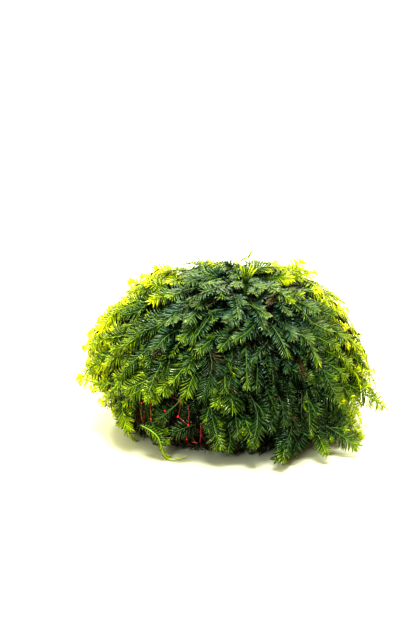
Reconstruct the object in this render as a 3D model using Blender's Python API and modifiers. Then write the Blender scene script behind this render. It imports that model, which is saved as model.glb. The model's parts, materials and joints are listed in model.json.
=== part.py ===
"""A clump of flat-leaved moss, grown into a dense cushion and tied in a coarse red net.

The origin is the middle of the flat underside, where the clump rests. +Z is up, -Y is the
side that faces the viewer and +X is its right. The cushion is a dome on a tucked-in foot.
The shoots lie on it like shingles, each a solid of the outline that its leaflets fill: lower
shoots are laid first, and every later one is lifted until it clears those under it.
"""

import math
import random
from collections import namedtuple

import bmesh
import bpy
from mathutils import Vector, noise
from mathutils.bvhtree import BVHTree

MM = 0.001

# The cushion: a dome above its waist, tucked in below it, cut off flat where it rests.
CUSHION_RADIUS = 27.5 * MM
CUSHION_WAIST = 8.0 * MM
CUSHION_RISE = 23.0 * MM
CUSHION_DROP = 11.0 * MM
CUSHION_POWER = 2.3
DEPTH_RATIO = 0.95
LUMP_SIZE = 8.0 * MM
LUMP_HEIGHT = 0.7 * MM

# The net: diamonds of thread round the lower half of the cushion.
NET_COLUMNS = 24
NET_ROWS = 3
NET_FOOT = 1.2 * MM
NET_TOP = 19.0 * MM
NET_OFFSET = 0.9 * MM
THREAD_THICKNESS = 0.5 * MM

# A shoot: a stem with leaflets in one plane. Across, it is a roof with a ridge, a hollow and eaves.
FROND_RIDGE = 0.45 * MM
FROND_HOLLOW = 0.25 * MM
FROND_EAVES = 0.5 * MM
FROND_BASE_HEIGHT = 1.4 * MM
STEM_WIDTH = 0.9 * MM
TOOTH_SWEEP = 0.09
# Distance along the shoot, and half width there: a stem, then teeth and the notches between.
FROND_OUTLINE = (
    (0.08, 0.30), (0.18, 0.78), (0.27, 0.58), (0.38, 0.98), (0.47, 0.68), (0.58, 1.00),
    (0.66, 0.66), (0.76, 0.86), (0.83, 0.52), (0.91, 0.52), (0.97, 0.22),
)

CLEARANCE = 0.3 * MM
LIFT_STEP = 0.3 * MM
MOST_LIFTS = 40
LOWEST_POINT = 0.5 * MM

SEED = 7

# One shoot: where it starts and ends on the cushion, as the angle round it in degrees (-90 is
# the front) and the way down from the crown in mm; its width, and how far its tip stands off.
Frond = namedtuple("Frond", "angle way tip_angle tip_way width tip_height")

# The shoots that the front shows, from the crown down to the foot.
FRONT_FRONDS = (
    Frond(-100, 5.5, -134, 14.5, 6.0, 3.0),
    Frond(-90, 9.0, -113, 19.0, 6.0, 3.0),
    Frond(-86, 11.0, -84, 21.5, 6.0, 3.2),
    Frond(-54, 8.5, -44, 18.5, 6.0, 3.2),
    Frond(-10, 3.0, 0, 11.0, 5.5, 5.0),
    Frond(20, 7.0, 4, 15.5, 5.5, 5.5),
    Frond(170, 4.5, 178, 13.0, 5.5, 4.5),
    Frond(-160, 10.5, -172, 20.0, 6.0, 4.5),
    Frond(-142, 13.5, -146, 23.5, 6.0, 3.8),
    Frond(-116, 14.0, -125, 24.0, 6.5, 3.5),
    Frond(-100, 15.5, -110, 26.0, 6.5, 3.5),
    Frond(-78, 14.0, -74, 23.5, 6.0, 3.4),
    Frond(-40, 13.5, -40, 23.5, 6.0, 3.5),
    Frond(-12, 14.5, -4, 24.0, 6.0, 4.8),
    Frond(-156, 17.5, -168, 27.5, 6.0, 4.2),
    Frond(-68, 18.5, -64, 29.0, 6.5, 3.8),
    Frond(-128, 19.0, -142, 29.5, 6.5, 3.8),
    Frond(-32, 20.0, -28, 30.5, 6.0, 3.8),
    Frond(-50, 21.0, -50, 31.5, 6.0, 3.8),
    Frond(-150, 24.0, -172, 34.0, 6.5, 4.2),
    Frond(-124, 24.5, -138, 34.0, 6.5, 3.8),
    Frond(-102, 24.0, -100, 36.0, 7.5, 4.8),
    Frond(-88, 25.0, -92, 38.5, 6.5, 4.2),
    Frond(-73, 25.5, -73, 37.5, 6.5, 4.2),
    Frond(-22, 26.0, -15, 34.5, 6.0, 4.2),
    Frond(-36, 27.0, -27, 37.5, 6.0, 4.0),
    Frond(-110, 27.0, -125, 36.5, 6.5, 4.2),
    Frond(-48, 29.0, -43, 40.0, 6.0, 3.8),
    Frond(-152, 30.0, -172, 40.0, 6.5, 4.8),
    Frond(-136, 30.5, -147, 40.0, 6.5, 3.8),
    Frond(-18, 31.0, -13, 40.0, 6.0, 4.8),
    Frond(-83, 33.0, -81, 44.5, 7.0, 4.6),
    Frond(-57, 34.0, -58, 44.0, 6.5, 3.6),
    Frond(-38, 34.5, -30, 43.5, 6.5, 4.0),
    Frond(-97, 35.0, -91, 45.0, 6.0, 3.6),
    Frond(-20, 35.5, -11, 45.0, 6.5, 5.2),
    Frond(-68, 36.5, -71, 47.5, 6.0, 6.0),
    Frond(-130, 36.0, -135, 43.0, 5.5, 3.5),
    Frond(-44, 38.5, -30, 47.5, 6.5, 5.4),
)

# The far side isn't seen: rings of like shoots. First and last angle, how many, way down.
BACK_RINGS = (
    (50, 128, 2, 5.0),
    (26, 152, 4, 13.0),
    (18, 165, 5, 22.0),
    (8, 174, 6, 32.0),
)
RING_FROND_LENGTH = 13.5
RING_FROND_WIDTH = 7.2
RING_TIP_HEIGHT = 4.2
FURTHEST_WAY = 47.0

# Points along the loose stems, as (x, y, z) in mm.
BARE_STEM = (
    (-8.2, -28.8, 15.9), (-9.6, -28.6, 14.0), (-11.6, -27.4, 11.6), (-13.5, -26.0, 9.6), (-15.0, -25.2, 8.4),
)
RUNNER = (
    (-17.4, -23.4, 7.4), (-15.4, -24.9, 6.8), (-13.9, -25.4, 5.6), (-13.3, -25.2, 3.6), (-12.9, -24.4, 1.8),
    (-12.2, -24.0, 0.7), (-10.8, -24.2, 0.4), (-9.4, -23.4, 0.4), (-8.2, -22.4, 0.4),
)
STEM_RADIUS = 0.3 * MM

# Colour (linear red, green, blue) and roughness.
OLD_GROWTH = ((0.018, 0.022, 0.008), 0.85)
NET_RED = ((0.42, 0.025, 0.03), 0.45)
DEEP_GREEN = ((0.018, 0.075, 0.012), 0.35)
FRESH_GREEN = ((0.05, 0.17, 0.012), 0.38)
RIM_YELLOW = ((0.30, 0.42, 0.015), 0.42)
STEM_OLIVE = ((0.16, 0.15, 0.03), 0.5)


def clear_scene():
    for obj in list(bpy.data.objects):
        bpy.data.objects.remove(obj, do_unlink=True)


def make_material(name, colour, roughness):
    material = bpy.data.materials.new(name)
    material.use_nodes = True
    shader = material.node_tree.nodes["Principled BSDF"]
    shader.inputs["Base Color"].default_value = (*colour, 1.0)
    shader.inputs["Roughness"].default_value = roughness
    shader.inputs["Metallic"].default_value = 0.0
    return material


def add_object(name, data, material, parent):
    obj = bpy.data.objects.new(name, data)
    parent.users_collection[0].objects.link(obj)
    obj.parent = parent
    data.materials.append(material)
    return obj


def mesh_from(bm, name):
    bmesh.ops.recalc_face_normals(bm, faces=bm.faces)
    mesh = bpy.data.meshes.new(name)
    bm.to_mesh(mesh)
    bm.free()
    return mesh


# ---- The cushion's surface ----


def lump(place):
    return noise.noise(place / LUMP_SIZE) * LUMP_HEIGHT


def profile_point(slope):
    """Radius and height on the dome, where slope runs from 0 at the crown to pi/2 at the waist and on below it."""
    rise = math.cos(slope)
    share = abs(rise) ** (2 / CUSHION_POWER)
    height = share * CUSHION_RISE if rise > 0 else -share * CUSHION_DROP
    return CUSHION_RADIUS * math.sin(slope) ** (2 / CUSHION_POWER), CUSHION_WAIST + height


def crown_to_waist(steps=240):
    """The dome's meridian as (way from the crown, radius, height), closely spaced."""
    table = [(0.0, 0.0, CUSHION_WAIST + CUSHION_RISE)]
    for i in range(1, steps + 1):
        radius, height = profile_point(i / steps * math.pi / 2)
        way, last_radius, last_height = table[-1]
        table.append((way + math.hypot(radius - last_radius, height - last_height), radius, height))
    return table


MERIDIAN = crown_to_waist()


def on_meridian(way):
    """Radius and height at a way down from the crown: over the dome, then straight down past the waist."""
    last_way, last_radius, last_height = MERIDIAN[-1]
    if way >= last_way:
        return last_radius, last_height - (way - last_way)
    upper = next(i for i, row in enumerate(MERIDIAN) if row[0] > way)
    (way_a, radius_a, height_a), (way_b, radius_b, height_b) = MERIDIAN[upper - 1 : upper + 1]
    share = (way - way_a) / (way_b - way_a)
    return radius_a + (radius_b - radius_a) * share, height_a + (height_b - height_a) * share


def over_dome(angle, way, height):
    """A point this far off the dome, and the direction straight out of the dome there."""
    nudge = 0.5 * MM
    radius, level = on_meridian(way)
    radius_above, level_above = on_meridian(max(way - nudge, 0.0))
    radius_below, level_below = on_meridian(way + nudge)
    out = Vector((level_above - level_below, 0.0, radius_below - radius_above)).normalized()
    x = math.cos(angle)
    y = DEPTH_RATIO * math.sin(angle)
    foot = Vector((radius * x, radius * y, level))
    normal = Vector((out.x * x, out.x * y, out.z)).normalized()
    return foot + normal * height, normal


def cushion_mesh():
    bm = bmesh.new()
    bmesh.ops.create_icosphere(bm, subdivisions=4, radius=1.0)
    for vert in bm.verts:
        slope = math.acos(max(-1.0, min(1.0, vert.co.z)))
        angle = math.atan2(vert.co.y, vert.co.x)
        radius, height = profile_point(slope)
        place = Vector((radius * math.cos(angle), radius * math.sin(angle) * DEPTH_RATIO, height))
        vert.co = place + vert.co * lump(place)
    cut = bmesh.ops.bisect_plane(
        bm,
        geom=bm.verts[:] + bm.edges[:] + bm.faces[:],
        plane_co=(0.0, 0.0, 0.0),
        plane_no=(0.0, 0.0, -1.0),
        clear_outer=True,
    )
    rim = [item for item in cut["geom_cut"] if isinstance(item, bmesh.types.BMEdge)]
    bmesh.ops.contextual_create(bm, geom=rim)
    return mesh_from(bm, "cushion")


# ---- The net ----


def net_point(angle, height):
    share = (height - CUSHION_WAIST) / (CUSHION_RISE if height > CUSHION_WAIST else CUSHION_DROP)
    slope = math.acos(math.copysign(abs(share) ** (CUSHION_POWER / 2), share))
    radius, _ = profile_point(slope)
    place = Vector((radius * math.cos(angle), radius * math.sin(angle) * DEPTH_RATIO, height))
    out = Vector((math.sin(slope) * math.cos(angle), math.sin(slope) * math.sin(angle), math.cos(slope)))
    return place + out.normalized() * (NET_OFFSET + lump(place))


def net_mesh():
    """A ring of square cells, turned to diamonds by joining the middles of the cells to their corners."""
    bm = bmesh.new()
    bmesh.ops.create_cone(bm, cap_ends=False, segments=NET_COLUMNS, radius1=1.0, radius2=1.0, depth=1.0)
    uprights = [edge for edge in bm.edges if abs(edge.verts[0].co.z - edge.verts[1].co.z) > 0.5]
    bmesh.ops.subdivide_edges(bm, edges=uprights, cuts=NET_ROWS - 1, use_grid_fill=True)
    inner = [edge for edge in bm.edges if len(edge.link_faces) == 2]
    bmesh.ops.poke(bm, faces=bm.faces[:])
    bmesh.ops.dissolve_edges(bm, edges=inner, use_verts=False)
    for vert in bm.verts:
        angle = math.atan2(vert.co.y, vert.co.x)
        vert.co = net_point(angle, NET_FOOT + (vert.co.z + 0.5) * (NET_TOP - NET_FOOT))
    return mesh_from(bm, "net")


def add_net(material, parent):
    net = add_object("net", net_mesh(), material, parent)
    threads = net.modifiers.new("threads", "WIREFRAME")
    threads.thickness = THREAD_THICKNESS
    threads.offset = 0.0
    threads.use_boundary = True
    threads.use_even_offset = False
    threads.use_replace = True
    return net


# ---- The shoots ----


def frond_place(frond, share, lift):
    """A point on the shoot's midline, and the direction out of the dome there."""
    angle = math.radians(frond.angle + (frond.tip_angle - frond.angle) * share)
    way = (frond.way + (frond.tip_way - frond.way) * share) * MM
    base_height = FROND_BASE_HEIGHT + lift * 0.4
    tip_height = frond.tip_height * MM + lift
    return over_dome(angle, way, base_height + (tip_height - base_height) * max(share, 0.0) ** 1.3)


def frond_section(frond, share, half_width, lift, swell):
    """Four corners across the shoot: left eave, hollow, right eave and ridge. Swell thickens all of them."""
    middle, out = frond_place(frond, share, lift)
    nearer, _ = frond_place(frond, share - 0.02, lift)
    further, _ = frond_place(frond, share + 0.02, lift)
    along = (further - nearer).normalized()
    side = along.cross(out).normalized()
    up = side.cross(along)
    fullness = half_width / (frond.width * MM / 2)
    sweep = (further - nearer) / 0.04 * TOOTH_SWEEP * max(0.0, fullness - 0.5)
    eaves = sweep - up * (FROND_EAVES * fullness + swell)
    reach = side * (half_width + swell)
    ridge = up * (FROND_RIDGE * (0.4 + 0.6 * fullness) + swell)
    hollow = up * (FROND_HOLLOW * (0.4 + 0.6 * fullness) + swell)
    return [middle - reach + eaves, middle - hollow, middle + reach + eaves, middle + ridge]


def frond_sections(frond, lift, swell=0.0):
    half_width = frond.width * MM / 2
    sections = [frond_section(frond, 0.0, STEM_WIDTH / 2, lift, swell)]
    for share, fullness in FROND_OUTLINE:
        sections.append(frond_section(frond, share, half_width * fullness, lift, swell))
    sections.append(frond_section(frond, 1.0, half_width * 0.08, lift, swell))
    return sections


def section_tree(sections):
    """A search tree of the closed loft through the sections."""
    corners = [corner for section in sections for corner in section]
    faces = [(0, 1, 2, 3), tuple(range(len(corners) - 4, len(corners)))]
    for start in range(0, len(corners) - 4, 4):
        for i in range(4):
            nxt = (i + 1) % 4
            faces.append((start + i, start + nxt, start + 4 + nxt, start + 4 + i))
    return BVHTree.FromPolygons(corners, faces)


def frond_mesh(sections, name):
    """The first section as a face, extruded from section to section."""
    bm = bmesh.new()
    bmesh.ops.create_circle(bm, cap_ends=True, segments=4, radius=STEM_WIDTH / 2)
    face = bm.faces[:][0]
    for vert, corner in zip(face.verts, sections[0]):
        vert.co = corner
    for number, section in enumerate(sections[1:]):
        extruded = bmesh.ops.extrude_face_region(bm, geom=[face])["geom"]
        if number > 0:
            bmesh.ops.delete(bm, geom=[face], context="FACES_ONLY")
        face = next(item for item in extruded if isinstance(item, bmesh.types.BMFace))
        for vert, corner in zip(face.verts, section):
            vert.co = corner
    return mesh_from(bm, name)


def back_fronds():
    chance = random.Random(SEED)
    fronds = []
    for first, last, count, way in BACK_RINGS:
        for i in range(count):
            angle = first + (last - first) * i / (count - 1) + chance.uniform(-4, 4)
            start = way + chance.uniform(-1.5, 1.0)
            lean = chance.uniform(-9, 9)
            length = RING_FROND_LENGTH + chance.uniform(-1.5, 1.0)
            width = RING_FROND_WIDTH + chance.uniform(-0.7, 0.7)
            tip = min(start + length, FURTHEST_WAY)
            fronds.append(Frond(angle, start, angle + lean, tip, width, RING_TIP_HEIGHT))
    return fronds


def lay_frond(frond, obstacles):
    """The sections of the shoot, lifted as little as keeps it clear of all that lies under it."""
    for step in range(MOST_LIFTS):
        lift = step * LIFT_STEP
        sections = frond_sections(frond, lift)
        lowest = min(corner.z for section in sections for corner in section)
        swollen = section_tree(frond_sections(frond, lift, CLEARANCE))
        if lowest > LOWEST_POINT and not any(swollen.overlap(tree) for tree in obstacles):
            return sections
    raise RuntimeError(f"no clear place for the shoot at {frond.angle:.0f} degrees, {frond.way:.0f} mm")


def frond_material(frond, materials):
    """Shoots on the clump's left and right rims are bright, those low in the middle are the darkest."""
    sideways = abs(math.cos(math.radians(frond.tip_angle)))
    if sideways > 0.86:
        return materials["rim"]
    return materials["deep"] if sideways < 0.45 else materials["fresh"]


# ---- The loose stems ----


def add_stem(name, points, material, parent):
    curve = bpy.data.curves.new(name, "CURVE")
    curve.dimensions = "3D"
    curve.bevel_depth = STEM_RADIUS
    curve.bevel_resolution = 2
    curve.use_fill_caps = True
    line = curve.splines.new("POLY")
    line.points.add(len(points) - 1)
    for point, place in zip(line.points, points):
        point.co = (*(Vector(place) * MM), 1.0)
    return add_object(name, curve, material, parent)


def tree_of(obj):
    return BVHTree.FromObject(obj, bpy.context.evaluated_depsgraph_get())


def main():
    clear_scene()
    collection = bpy.data.collections.new("moss_clump")
    bpy.context.scene.collection.children.link(collection)
    root = bpy.data.objects.new("clump", None)
    collection.objects.link(root)

    materials = {
        "rim": make_material("rim_yellow", *RIM_YELLOW),
        "fresh": make_material("fresh_green", *FRESH_GREEN),
        "deep": make_material("deep_green", *DEEP_GREEN),
    }
    stem_olive = make_material("stem_olive", *STEM_OLIVE)
    cushion = add_object("cushion", cushion_mesh(), make_material("old_growth", *OLD_GROWTH), root)
    net = add_net(make_material("net_red", *NET_RED), root)
    stem = add_stem("bare_stem", BARE_STEM, stem_olive, root)
    runner = add_stem("runner", RUNNER, stem_olive, root)
    bpy.context.view_layer.update()
    obstacles = [tree_of(obj) for obj in (cushion, net, stem, runner)]

    fronds = list(FRONT_FRONDS) + back_fronds()
    fronds.sort(key=lambda frond: -frond.way)
    for number, frond in enumerate(fronds, 1):
        sections = lay_frond(frond, obstacles)
        obstacles.append(section_tree(sections))
        name = f"frond_{number:02d}"
        add_object(name, frond_mesh(sections, name), frond_material(frond, materials), root)


main()
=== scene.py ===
"""The looks of a clump of flat-leaved moss tied in a red net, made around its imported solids.

-Y is the side that faces the viewer, +X its right and +Z up. The clump rests on z = 0.
Every shoot is a stem with two rows of leaflets. The shoots that the frame holds are made along
its solids, and the smaller ones between them grow from the same dome that the cushion has.
"""

import json
import math
from collections import namedtuple

import bmesh
import bpy
import numpy as np
from mathutils import Matrix, Vector, noise


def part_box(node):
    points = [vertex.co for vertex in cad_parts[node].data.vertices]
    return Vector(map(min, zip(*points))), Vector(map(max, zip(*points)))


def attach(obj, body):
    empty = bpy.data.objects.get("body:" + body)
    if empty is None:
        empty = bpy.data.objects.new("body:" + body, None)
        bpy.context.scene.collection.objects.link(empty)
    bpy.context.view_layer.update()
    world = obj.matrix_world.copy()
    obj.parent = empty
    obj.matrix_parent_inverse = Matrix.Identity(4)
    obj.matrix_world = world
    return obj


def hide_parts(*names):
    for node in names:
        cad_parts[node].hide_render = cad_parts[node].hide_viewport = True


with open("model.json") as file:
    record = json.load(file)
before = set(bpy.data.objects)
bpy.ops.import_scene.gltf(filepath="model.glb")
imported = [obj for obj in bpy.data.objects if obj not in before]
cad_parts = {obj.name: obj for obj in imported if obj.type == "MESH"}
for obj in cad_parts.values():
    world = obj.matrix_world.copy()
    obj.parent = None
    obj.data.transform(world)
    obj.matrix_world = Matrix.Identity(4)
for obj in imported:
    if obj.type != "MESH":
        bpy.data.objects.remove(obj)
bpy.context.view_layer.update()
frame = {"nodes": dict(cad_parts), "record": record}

bl_info = {
    "name": "Moss clump",
    "version": (1, 0, 0),
    "blender": (4, 5, 0),
    "location": "3D View > Sidebar > Moss",
    "description": "Builds the shoots, cushion, net and loose stems of a moss clump",
    "category": "Add Mesh",
}

MM = 0.001
UP = np.array([0.0, 0.0, 1.0])
BACK = np.array([0.0, 1.0, 0.0])

# ---- The dome that everything grows from, read from the cushion's box ----

CUSHION_LOW, CUSHION_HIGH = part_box("cushion")
DOME_RADIUS = (CUSHION_HIGH.x - CUSHION_LOW.x) / 2
DEPTH_RATIO = (CUSHION_HIGH.y - CUSHION_LOW.y) / (CUSHION_HIGH.x - CUSHION_LOW.x)
WAIST = 8.0 * MM
DOME_RISE = CUSHION_HIGH.z - WAIST
DOME_DROP = 11.0 * MM
DOME_POWER = 2.3
FLOOR_GAP = 0.25 * MM
# The foot of the foliage is drawn in this much, from the first height down to the second.
FOOT_TUCK = 3.2 * MM
TUCKED_FROM, TUCKED_TO = 17 * MM, 5 * MM
# Shoots placed by the photograph keep off the floor by the first. Those that miss the dome stand nearer than
# its rim by the second.
LOWEST_TIP = 1.0 * MM
RIM_NEARER = 3.5 * MM

# ---- The photograph's frame, in pixels ----

IMAGE_WIDTH, IMAGE_HEIGHT = 416, 623
# Where the clump's middle line shows at the aimed height, and the scale there.
MIDDLE_ACROSS, MIDDLE_DOWN = 228, 359
PIXELS_A_METRE = 4700
CAMERA_ELEVATION = math.radians(17)
CAMERA_DISTANCE = 320 * MM
CAMERA_AIM = 14 * MM

# ---- Floor and light ----

FLOOR_HALF_WIDTH = 3.0
# Each soft lamp: where it stands as seen from the clump, its width in degrees, strength and colour.
LAMPS = (
    ("back_light", (0.05, 0.85, 0.62), 90, 2.6, (0.98, 1.0, 0.88)),
    ("left_light", (-0.85, 0.45, 0.8), 70, 2.5, (1.0, 1.0, 0.6)),
    ("right_light", (0.8, 0.6, 1.0), 70, 1.7, (1.0, 1.0, 0.6)),
    ("top_light", (0.05, -0.35, 0.95), 20, 4.4, (0.93, 0.98, 1.0)),
    ("front_light", (-0.25, -0.9, 0.42), 13, 2.9, (0.82, 0.92, 1.0)),
    ("low_light", (-0.5, -0.85, 0.2), 16, 0.4, (0.86, 0.94, 1.0)),
)

# ---- How the shoots are made ----

BAKE_MAP = "OFBake"
# A leaflet's width at its foot against its widest part, the share of its length where that begins, how
# bluntly it ends, and the power by which its thickness follows its width.
LEAF_FOOT, LEAF_FULL_FROM, LEAF_END_POWER, KEEL_POWER = 0.62, 0.5, 4, 0.8
# What the random draws of each group start from. Each large shoot adds its number.
CUSHION_SEED, NET_SEED, PLACED_SEED, LOOSE_SEED, SHOOT_SEED = 21, 31, 41, 51, 100
SPINE_POINTS = 17
SHARES = np.linspace(0.0, 1.0, SPINE_POINTS)
# Share of the way along a shoot, and its half width there against the widest.
SPREAD_ALONG = ((0.0, 0.55), (0.12, 0.85), (0.3, 1.0), (0.6, 0.97), (0.8, 0.86), (0.92, 0.76), (1.0, 0.66))
# A large shoot against its solid: how far it arches up in the middle and sags at the tip, and its share of
# the width.
ARCH = 0.7 * MM
TIP_SAG = 0.8 * MM
FILLED_WIDTH = 0.80
# How far the tip of a small shoot droops and how late, how much lower it starts where the growth is sunk, how
# deep in the cushion leaflets no longer show, the most of a shoot that is left bare for that, and how low its
# stem may lie.
DROOP, DROOP_POWER = 1.0 * MM, 2.5
SINKING = 0.8 * MM
BURIED = -0.6 * MM
MOST_BARE = 0.9
STEM_OFF_FLOOR = FLOOR_GAP + 0.4 * MM
# Sideways bend and bank of large, small and placed shoots. Then the bend's spread, its range of half waves,
# and the most that the bank's change along a shoot may spread.
LARGE_SWAY, LARGE_BANK = 1.1 * MM, 0.4
SMALL_SWAY, SMALL_BANK = 1.5 * MM, 0.5
PLACED_SWAY, PLACED_BANK = 0.5 * MM, 0.2
SWAY_SPREAD, SWAY_WAVES, BANK_CHANGE = 0.8, (0.7, 1.7), 0.5
# How much the flat side of a placed shoot faces out of the dome, towards the viewer and up.
FACING_OUT, FACING_VIEWER, FACING_UP = 0.45, 0.65, 0.3
# Shoots with a half width from here on have side branches: the share along the shoot where each starts, with
# its side. Their angle to it, and the share of the shoot's width that its own leaflets take.
BROAD = 2.3 * MM
BRANCHES = ((0.10, 1), (0.22, -1))
BRANCH_ANGLE, BRANCH_ANGLE_SPREAD = 0.42, 0.09
OWN_WIDTH = 0.74
# A branch stands out by the shoot's half width less this share of what its own leaflets take, times a factor
# within the range. It ends by this share of the shoot, bows by the next, and its tip lies lower by a range in
# mm. Then the spread of its tone, and its width against the shoot's own leaflets.
BRANCH_CLEAR, BRANCH_OUT = 0.6, (0.8, 1.1)
BRANCH_END, BRANCH_BOW, BRANCH_SINK = 0.92, 0.25, (0.1, 0.5)
BRANCH_TONE_SPREAD, BRANCH_WIDTH = 0.04, 0.9
# Share of the way along the leafy stretch, and how far leaflets turn from the stem there, in leaflet angles.
SWING_ALONG = ((0.0, 1.2), (0.3, 1.05), (0.8, 0.85), (1.0, 0.5))
# Where the two of a pair stand, as shares of the spacing. Then the short leaflet on top of every third pair:
# its place, most swing in leaflet angles, range of lift in radians and length.
PAIR_PLACES = (0.25, 0.75)
UPPER_EVERY, UPPER_PLACE, UPPER_SWING, UPPER_LIFT, UPPER_REACH = 3, 0.6, 0.7, (0.1, 0.4), 0.5
# Leaflets that spread like a hand at the tip of a shoot, how far, and how much shorter the outer ones are.
TIP_FAN, FAN_SWING, FAN_SHORTER = 5, 0.85, 0.3
FEWEST_PAIRS = 4
# How leaflets differ: spreads of swing, lift, roll, bend and tone, and ranges of length, width and curl. Then
# their width at a shoot's foot and tip, and the tone of withered ones.
SWING_SPREAD, LIFT_SPREAD, ROLL_SPREAD, BEND_SPREAD, TONE_SPREAD = 0.07, 0.08, 0.14, 0.07, 0.05
LENGTH_RANGE, WIDTH_RANGE, CURL_RANGE = (0.85, 1.1), (0.8, 1.15), (0.4, 1.6)
FOOT_AND_TIP_WIDTH = (1.05, 0.9)
WITHERED_TONE = 0.05
# Tones keep off the map's edges by the first, and each copy spreads a little across the map by the second.
MAP_EDGE, MAP_SPREAD = 0.005, 0.004
# Between these heights more and more leaflets are of the crown's cooler green, partly painted bluish sheen,
# up to a tone, and fewer past a share of the way to the sides. They use the map's upper half, and the others
# its lower half.
COOL_FROM, COOL_TO = 18 * MM, 28 * MM
COOL_TONE = 0.70
COOL_ACROSS, COOL_FADING = 0.30, 2.5
# Limits of the share along a leaflet, and of the map's lower half.
LEAF_ENDS, LOWER_HALF = (0.01, 0.99), (0.005, 0.495)
# Shoots with a tone up to the first are dead. The leaflets of the rest are no browner than the second.
DEAD_TONE, LIVE_TONE = 0.14, 0.18
# Stems of live shoots are no browner than the first, and no stem is lighter than these at its foot and tip.
LIVE_STEM, LIGHTEST_STEM = 0.27, (0.45, 0.6)
# Shares of a shoot's bloom that its stem has at foot and tip, the stem's share of the shoot, and how thick
# its tip is against its foot.
STEM_BLOOM = (-0.2, 0.5)
STEM_SHARE, STEM_TAPER = 0.93, 0.45

# How much the upper sides of loose stems, threads and blades turn up, against out of the dome.
LINE_UPWARDS = 0.6

# A line with its upper sides, half the width across its leaflets, its tone at the middle, how much lighter
# its tip is than its foot, and the share from the foot that bears no leaflets.
Shoot = namedtuple("Shoot", "points ups half_width tone bloom bare", defaults=(0.0,))
Template = namedtuple("Template", "places corners starts")


def dome_profile(slope):
    """Radius and height on the dome, for slopes from 0 at the crown to pi/2 at the waist and on below it."""
    rise = np.cos(slope)
    share = np.abs(rise) ** (2 / DOME_POWER)
    height = np.where(rise > 0, share * DOME_RISE, -share * DOME_DROP)
    return DOME_RADIUS * np.sin(slope) ** (2 / DOME_POWER), WAIST + height


def crown_to_foot(steps=600):
    """The dome's outline from the crown down to the floor: way along it, radius and height."""
    foot_slope = math.pi / 2 + math.asin((WAIST / DOME_DROP) ** (DOME_POWER / 2))
    radius, height = dome_profile(np.linspace(0.0, foot_slope, steps))
    way = np.concatenate([[0.0], np.cumsum(np.hypot(np.diff(radius), np.diff(height)))])
    return way, radius, height


OUTLINE_WAY, OUTLINE_RADIUS, OUTLINE_HEIGHT = crown_to_foot()
WAIST_WAY = float(np.interp(-WAIST, -OUTLINE_HEIGHT, OUTLINE_WAY))
FOOT_WAY = OUTLINE_WAY[-1]


def drawn_in(height):
    """How far the foot is drawn in at a height."""
    share = np.clip((TUCKED_FROM - height) / (TUCKED_FROM - TUCKED_TO), 0.0, 1.0)
    return FOOT_TUCK * share ** 2 * (3 - 2 * share)


def on_outline(way, tuck):
    """Radius and height at a way down from the crown. With tuck 0 it runs straight down from the waist."""
    radius = np.interp(way, OUTLINE_WAY, OUTLINE_RADIUS)
    height = np.interp(way, OUTLINE_WAY, OUTLINE_HEIGHT)
    past = np.maximum(way - WAIST_WAY, 0.0)
    radius = np.where(past > 0, tuck * radius + (1 - tuck) * DOME_RADIUS, radius)
    height = np.where(past > 0, tuck * height + (1 - tuck) * (WAIST - past), height)
    return radius - tuck * drawn_in(height), height


def over_dome(angle, way, height, tuck=0.0):
    """Points this far off the dome, and the directions straight out of it. The first three are arrays."""
    nudge = 0.5 * MM
    radius, level = on_outline(way, tuck)
    radius_above, level_above = on_outline(np.maximum(way - nudge, 0.0), tuck)
    radius_below, level_below = on_outline(way + nudge, tuck)
    out, rise = level_above - level_below, radius_below - radius_above
    x, y = np.cos(angle), DEPTH_RATIO * np.sin(angle)
    normal = unit(np.stack([out * x, out * y, rise], axis=-1))
    foot = np.stack([radius * x, radius * y, level], axis=-1)
    return foot + normal * np.expand_dims(height, -1), normal


def unit(vectors):
    return vectors / np.maximum(np.linalg.norm(vectors, axis=-1, keepdims=True), 1e-12)


def directions(points):
    """The directions along a line."""
    return unit(np.gradient(points, axis=0))


def square_to(vectors, lines):
    """The directions nearest to the vectors that are square to the lines."""
    return unit(vectors - lines * np.sum(vectors * lines, axis=-1, keepdims=True))


def line_length(points):
    return np.linalg.norm(np.diff(points, axis=0), axis=1).sum()


def way_down(place):
    """How far a place is from the crown, as an angle about the dome's middle."""
    across = math.hypot(place[0], place[1] / DEPTH_RATIO)
    return math.atan2(across, (place[2] - WAIST) * DOME_RADIUS / DOME_RISE)


def seen_at(across, down, depth):
    """The places at depths, on Y, that the camera sees at a pixel of the photograph."""
    forward = np.array([0.0, math.cos(CAMERA_ELEVATION), -math.sin(CAMERA_ELEVATION)])
    above = np.array([0.0, math.sin(CAMERA_ELEVATION), math.cos(CAMERA_ELEVATION)])
    camera = np.array([0.0, 0.0, CAMERA_AIM]) - forward * CAMERA_DISTANCE
    ray = forward * CAMERA_DISTANCE + above * (MIDDLE_DOWN - down) / PIXELS_A_METRE
    ray[0] = (across - MIDDLE_ACROSS) / PIXELS_A_METRE
    return camera + np.multiply.outer((np.asarray(depth) - camera[1]) / ray[1], ray)


def at_front(across, down, rise):
    """Where a pixel's ray first comes within a rise off the dome, or a little nearer where it misses it."""
    places = seen_at(across, down, np.linspace(-1.3, 1.2, 601) * DOME_RADIUS)
    places = places[places[:, 2] > LOWEST_TIP]
    radius = np.hypot(places[:, 0], places[:, 1] / DEPTH_RATIO)
    level = places[:, 2] - WAIST
    tall = np.where(level > 0, DOME_RISE, DOME_DROP) + rise
    nearness = (radius / (DOME_RADIUS + rise)) ** DOME_POWER + np.abs(level / tall) ** DOME_POWER
    met = np.flatnonzero(nearness <= 1.0)
    if len(met):
        return places[met[0]]
    return seen_at(across, down, places[np.argmin(nearness), 1] - RIM_NEARER)


# ---- Copying small shapes into one mesh ----


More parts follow.
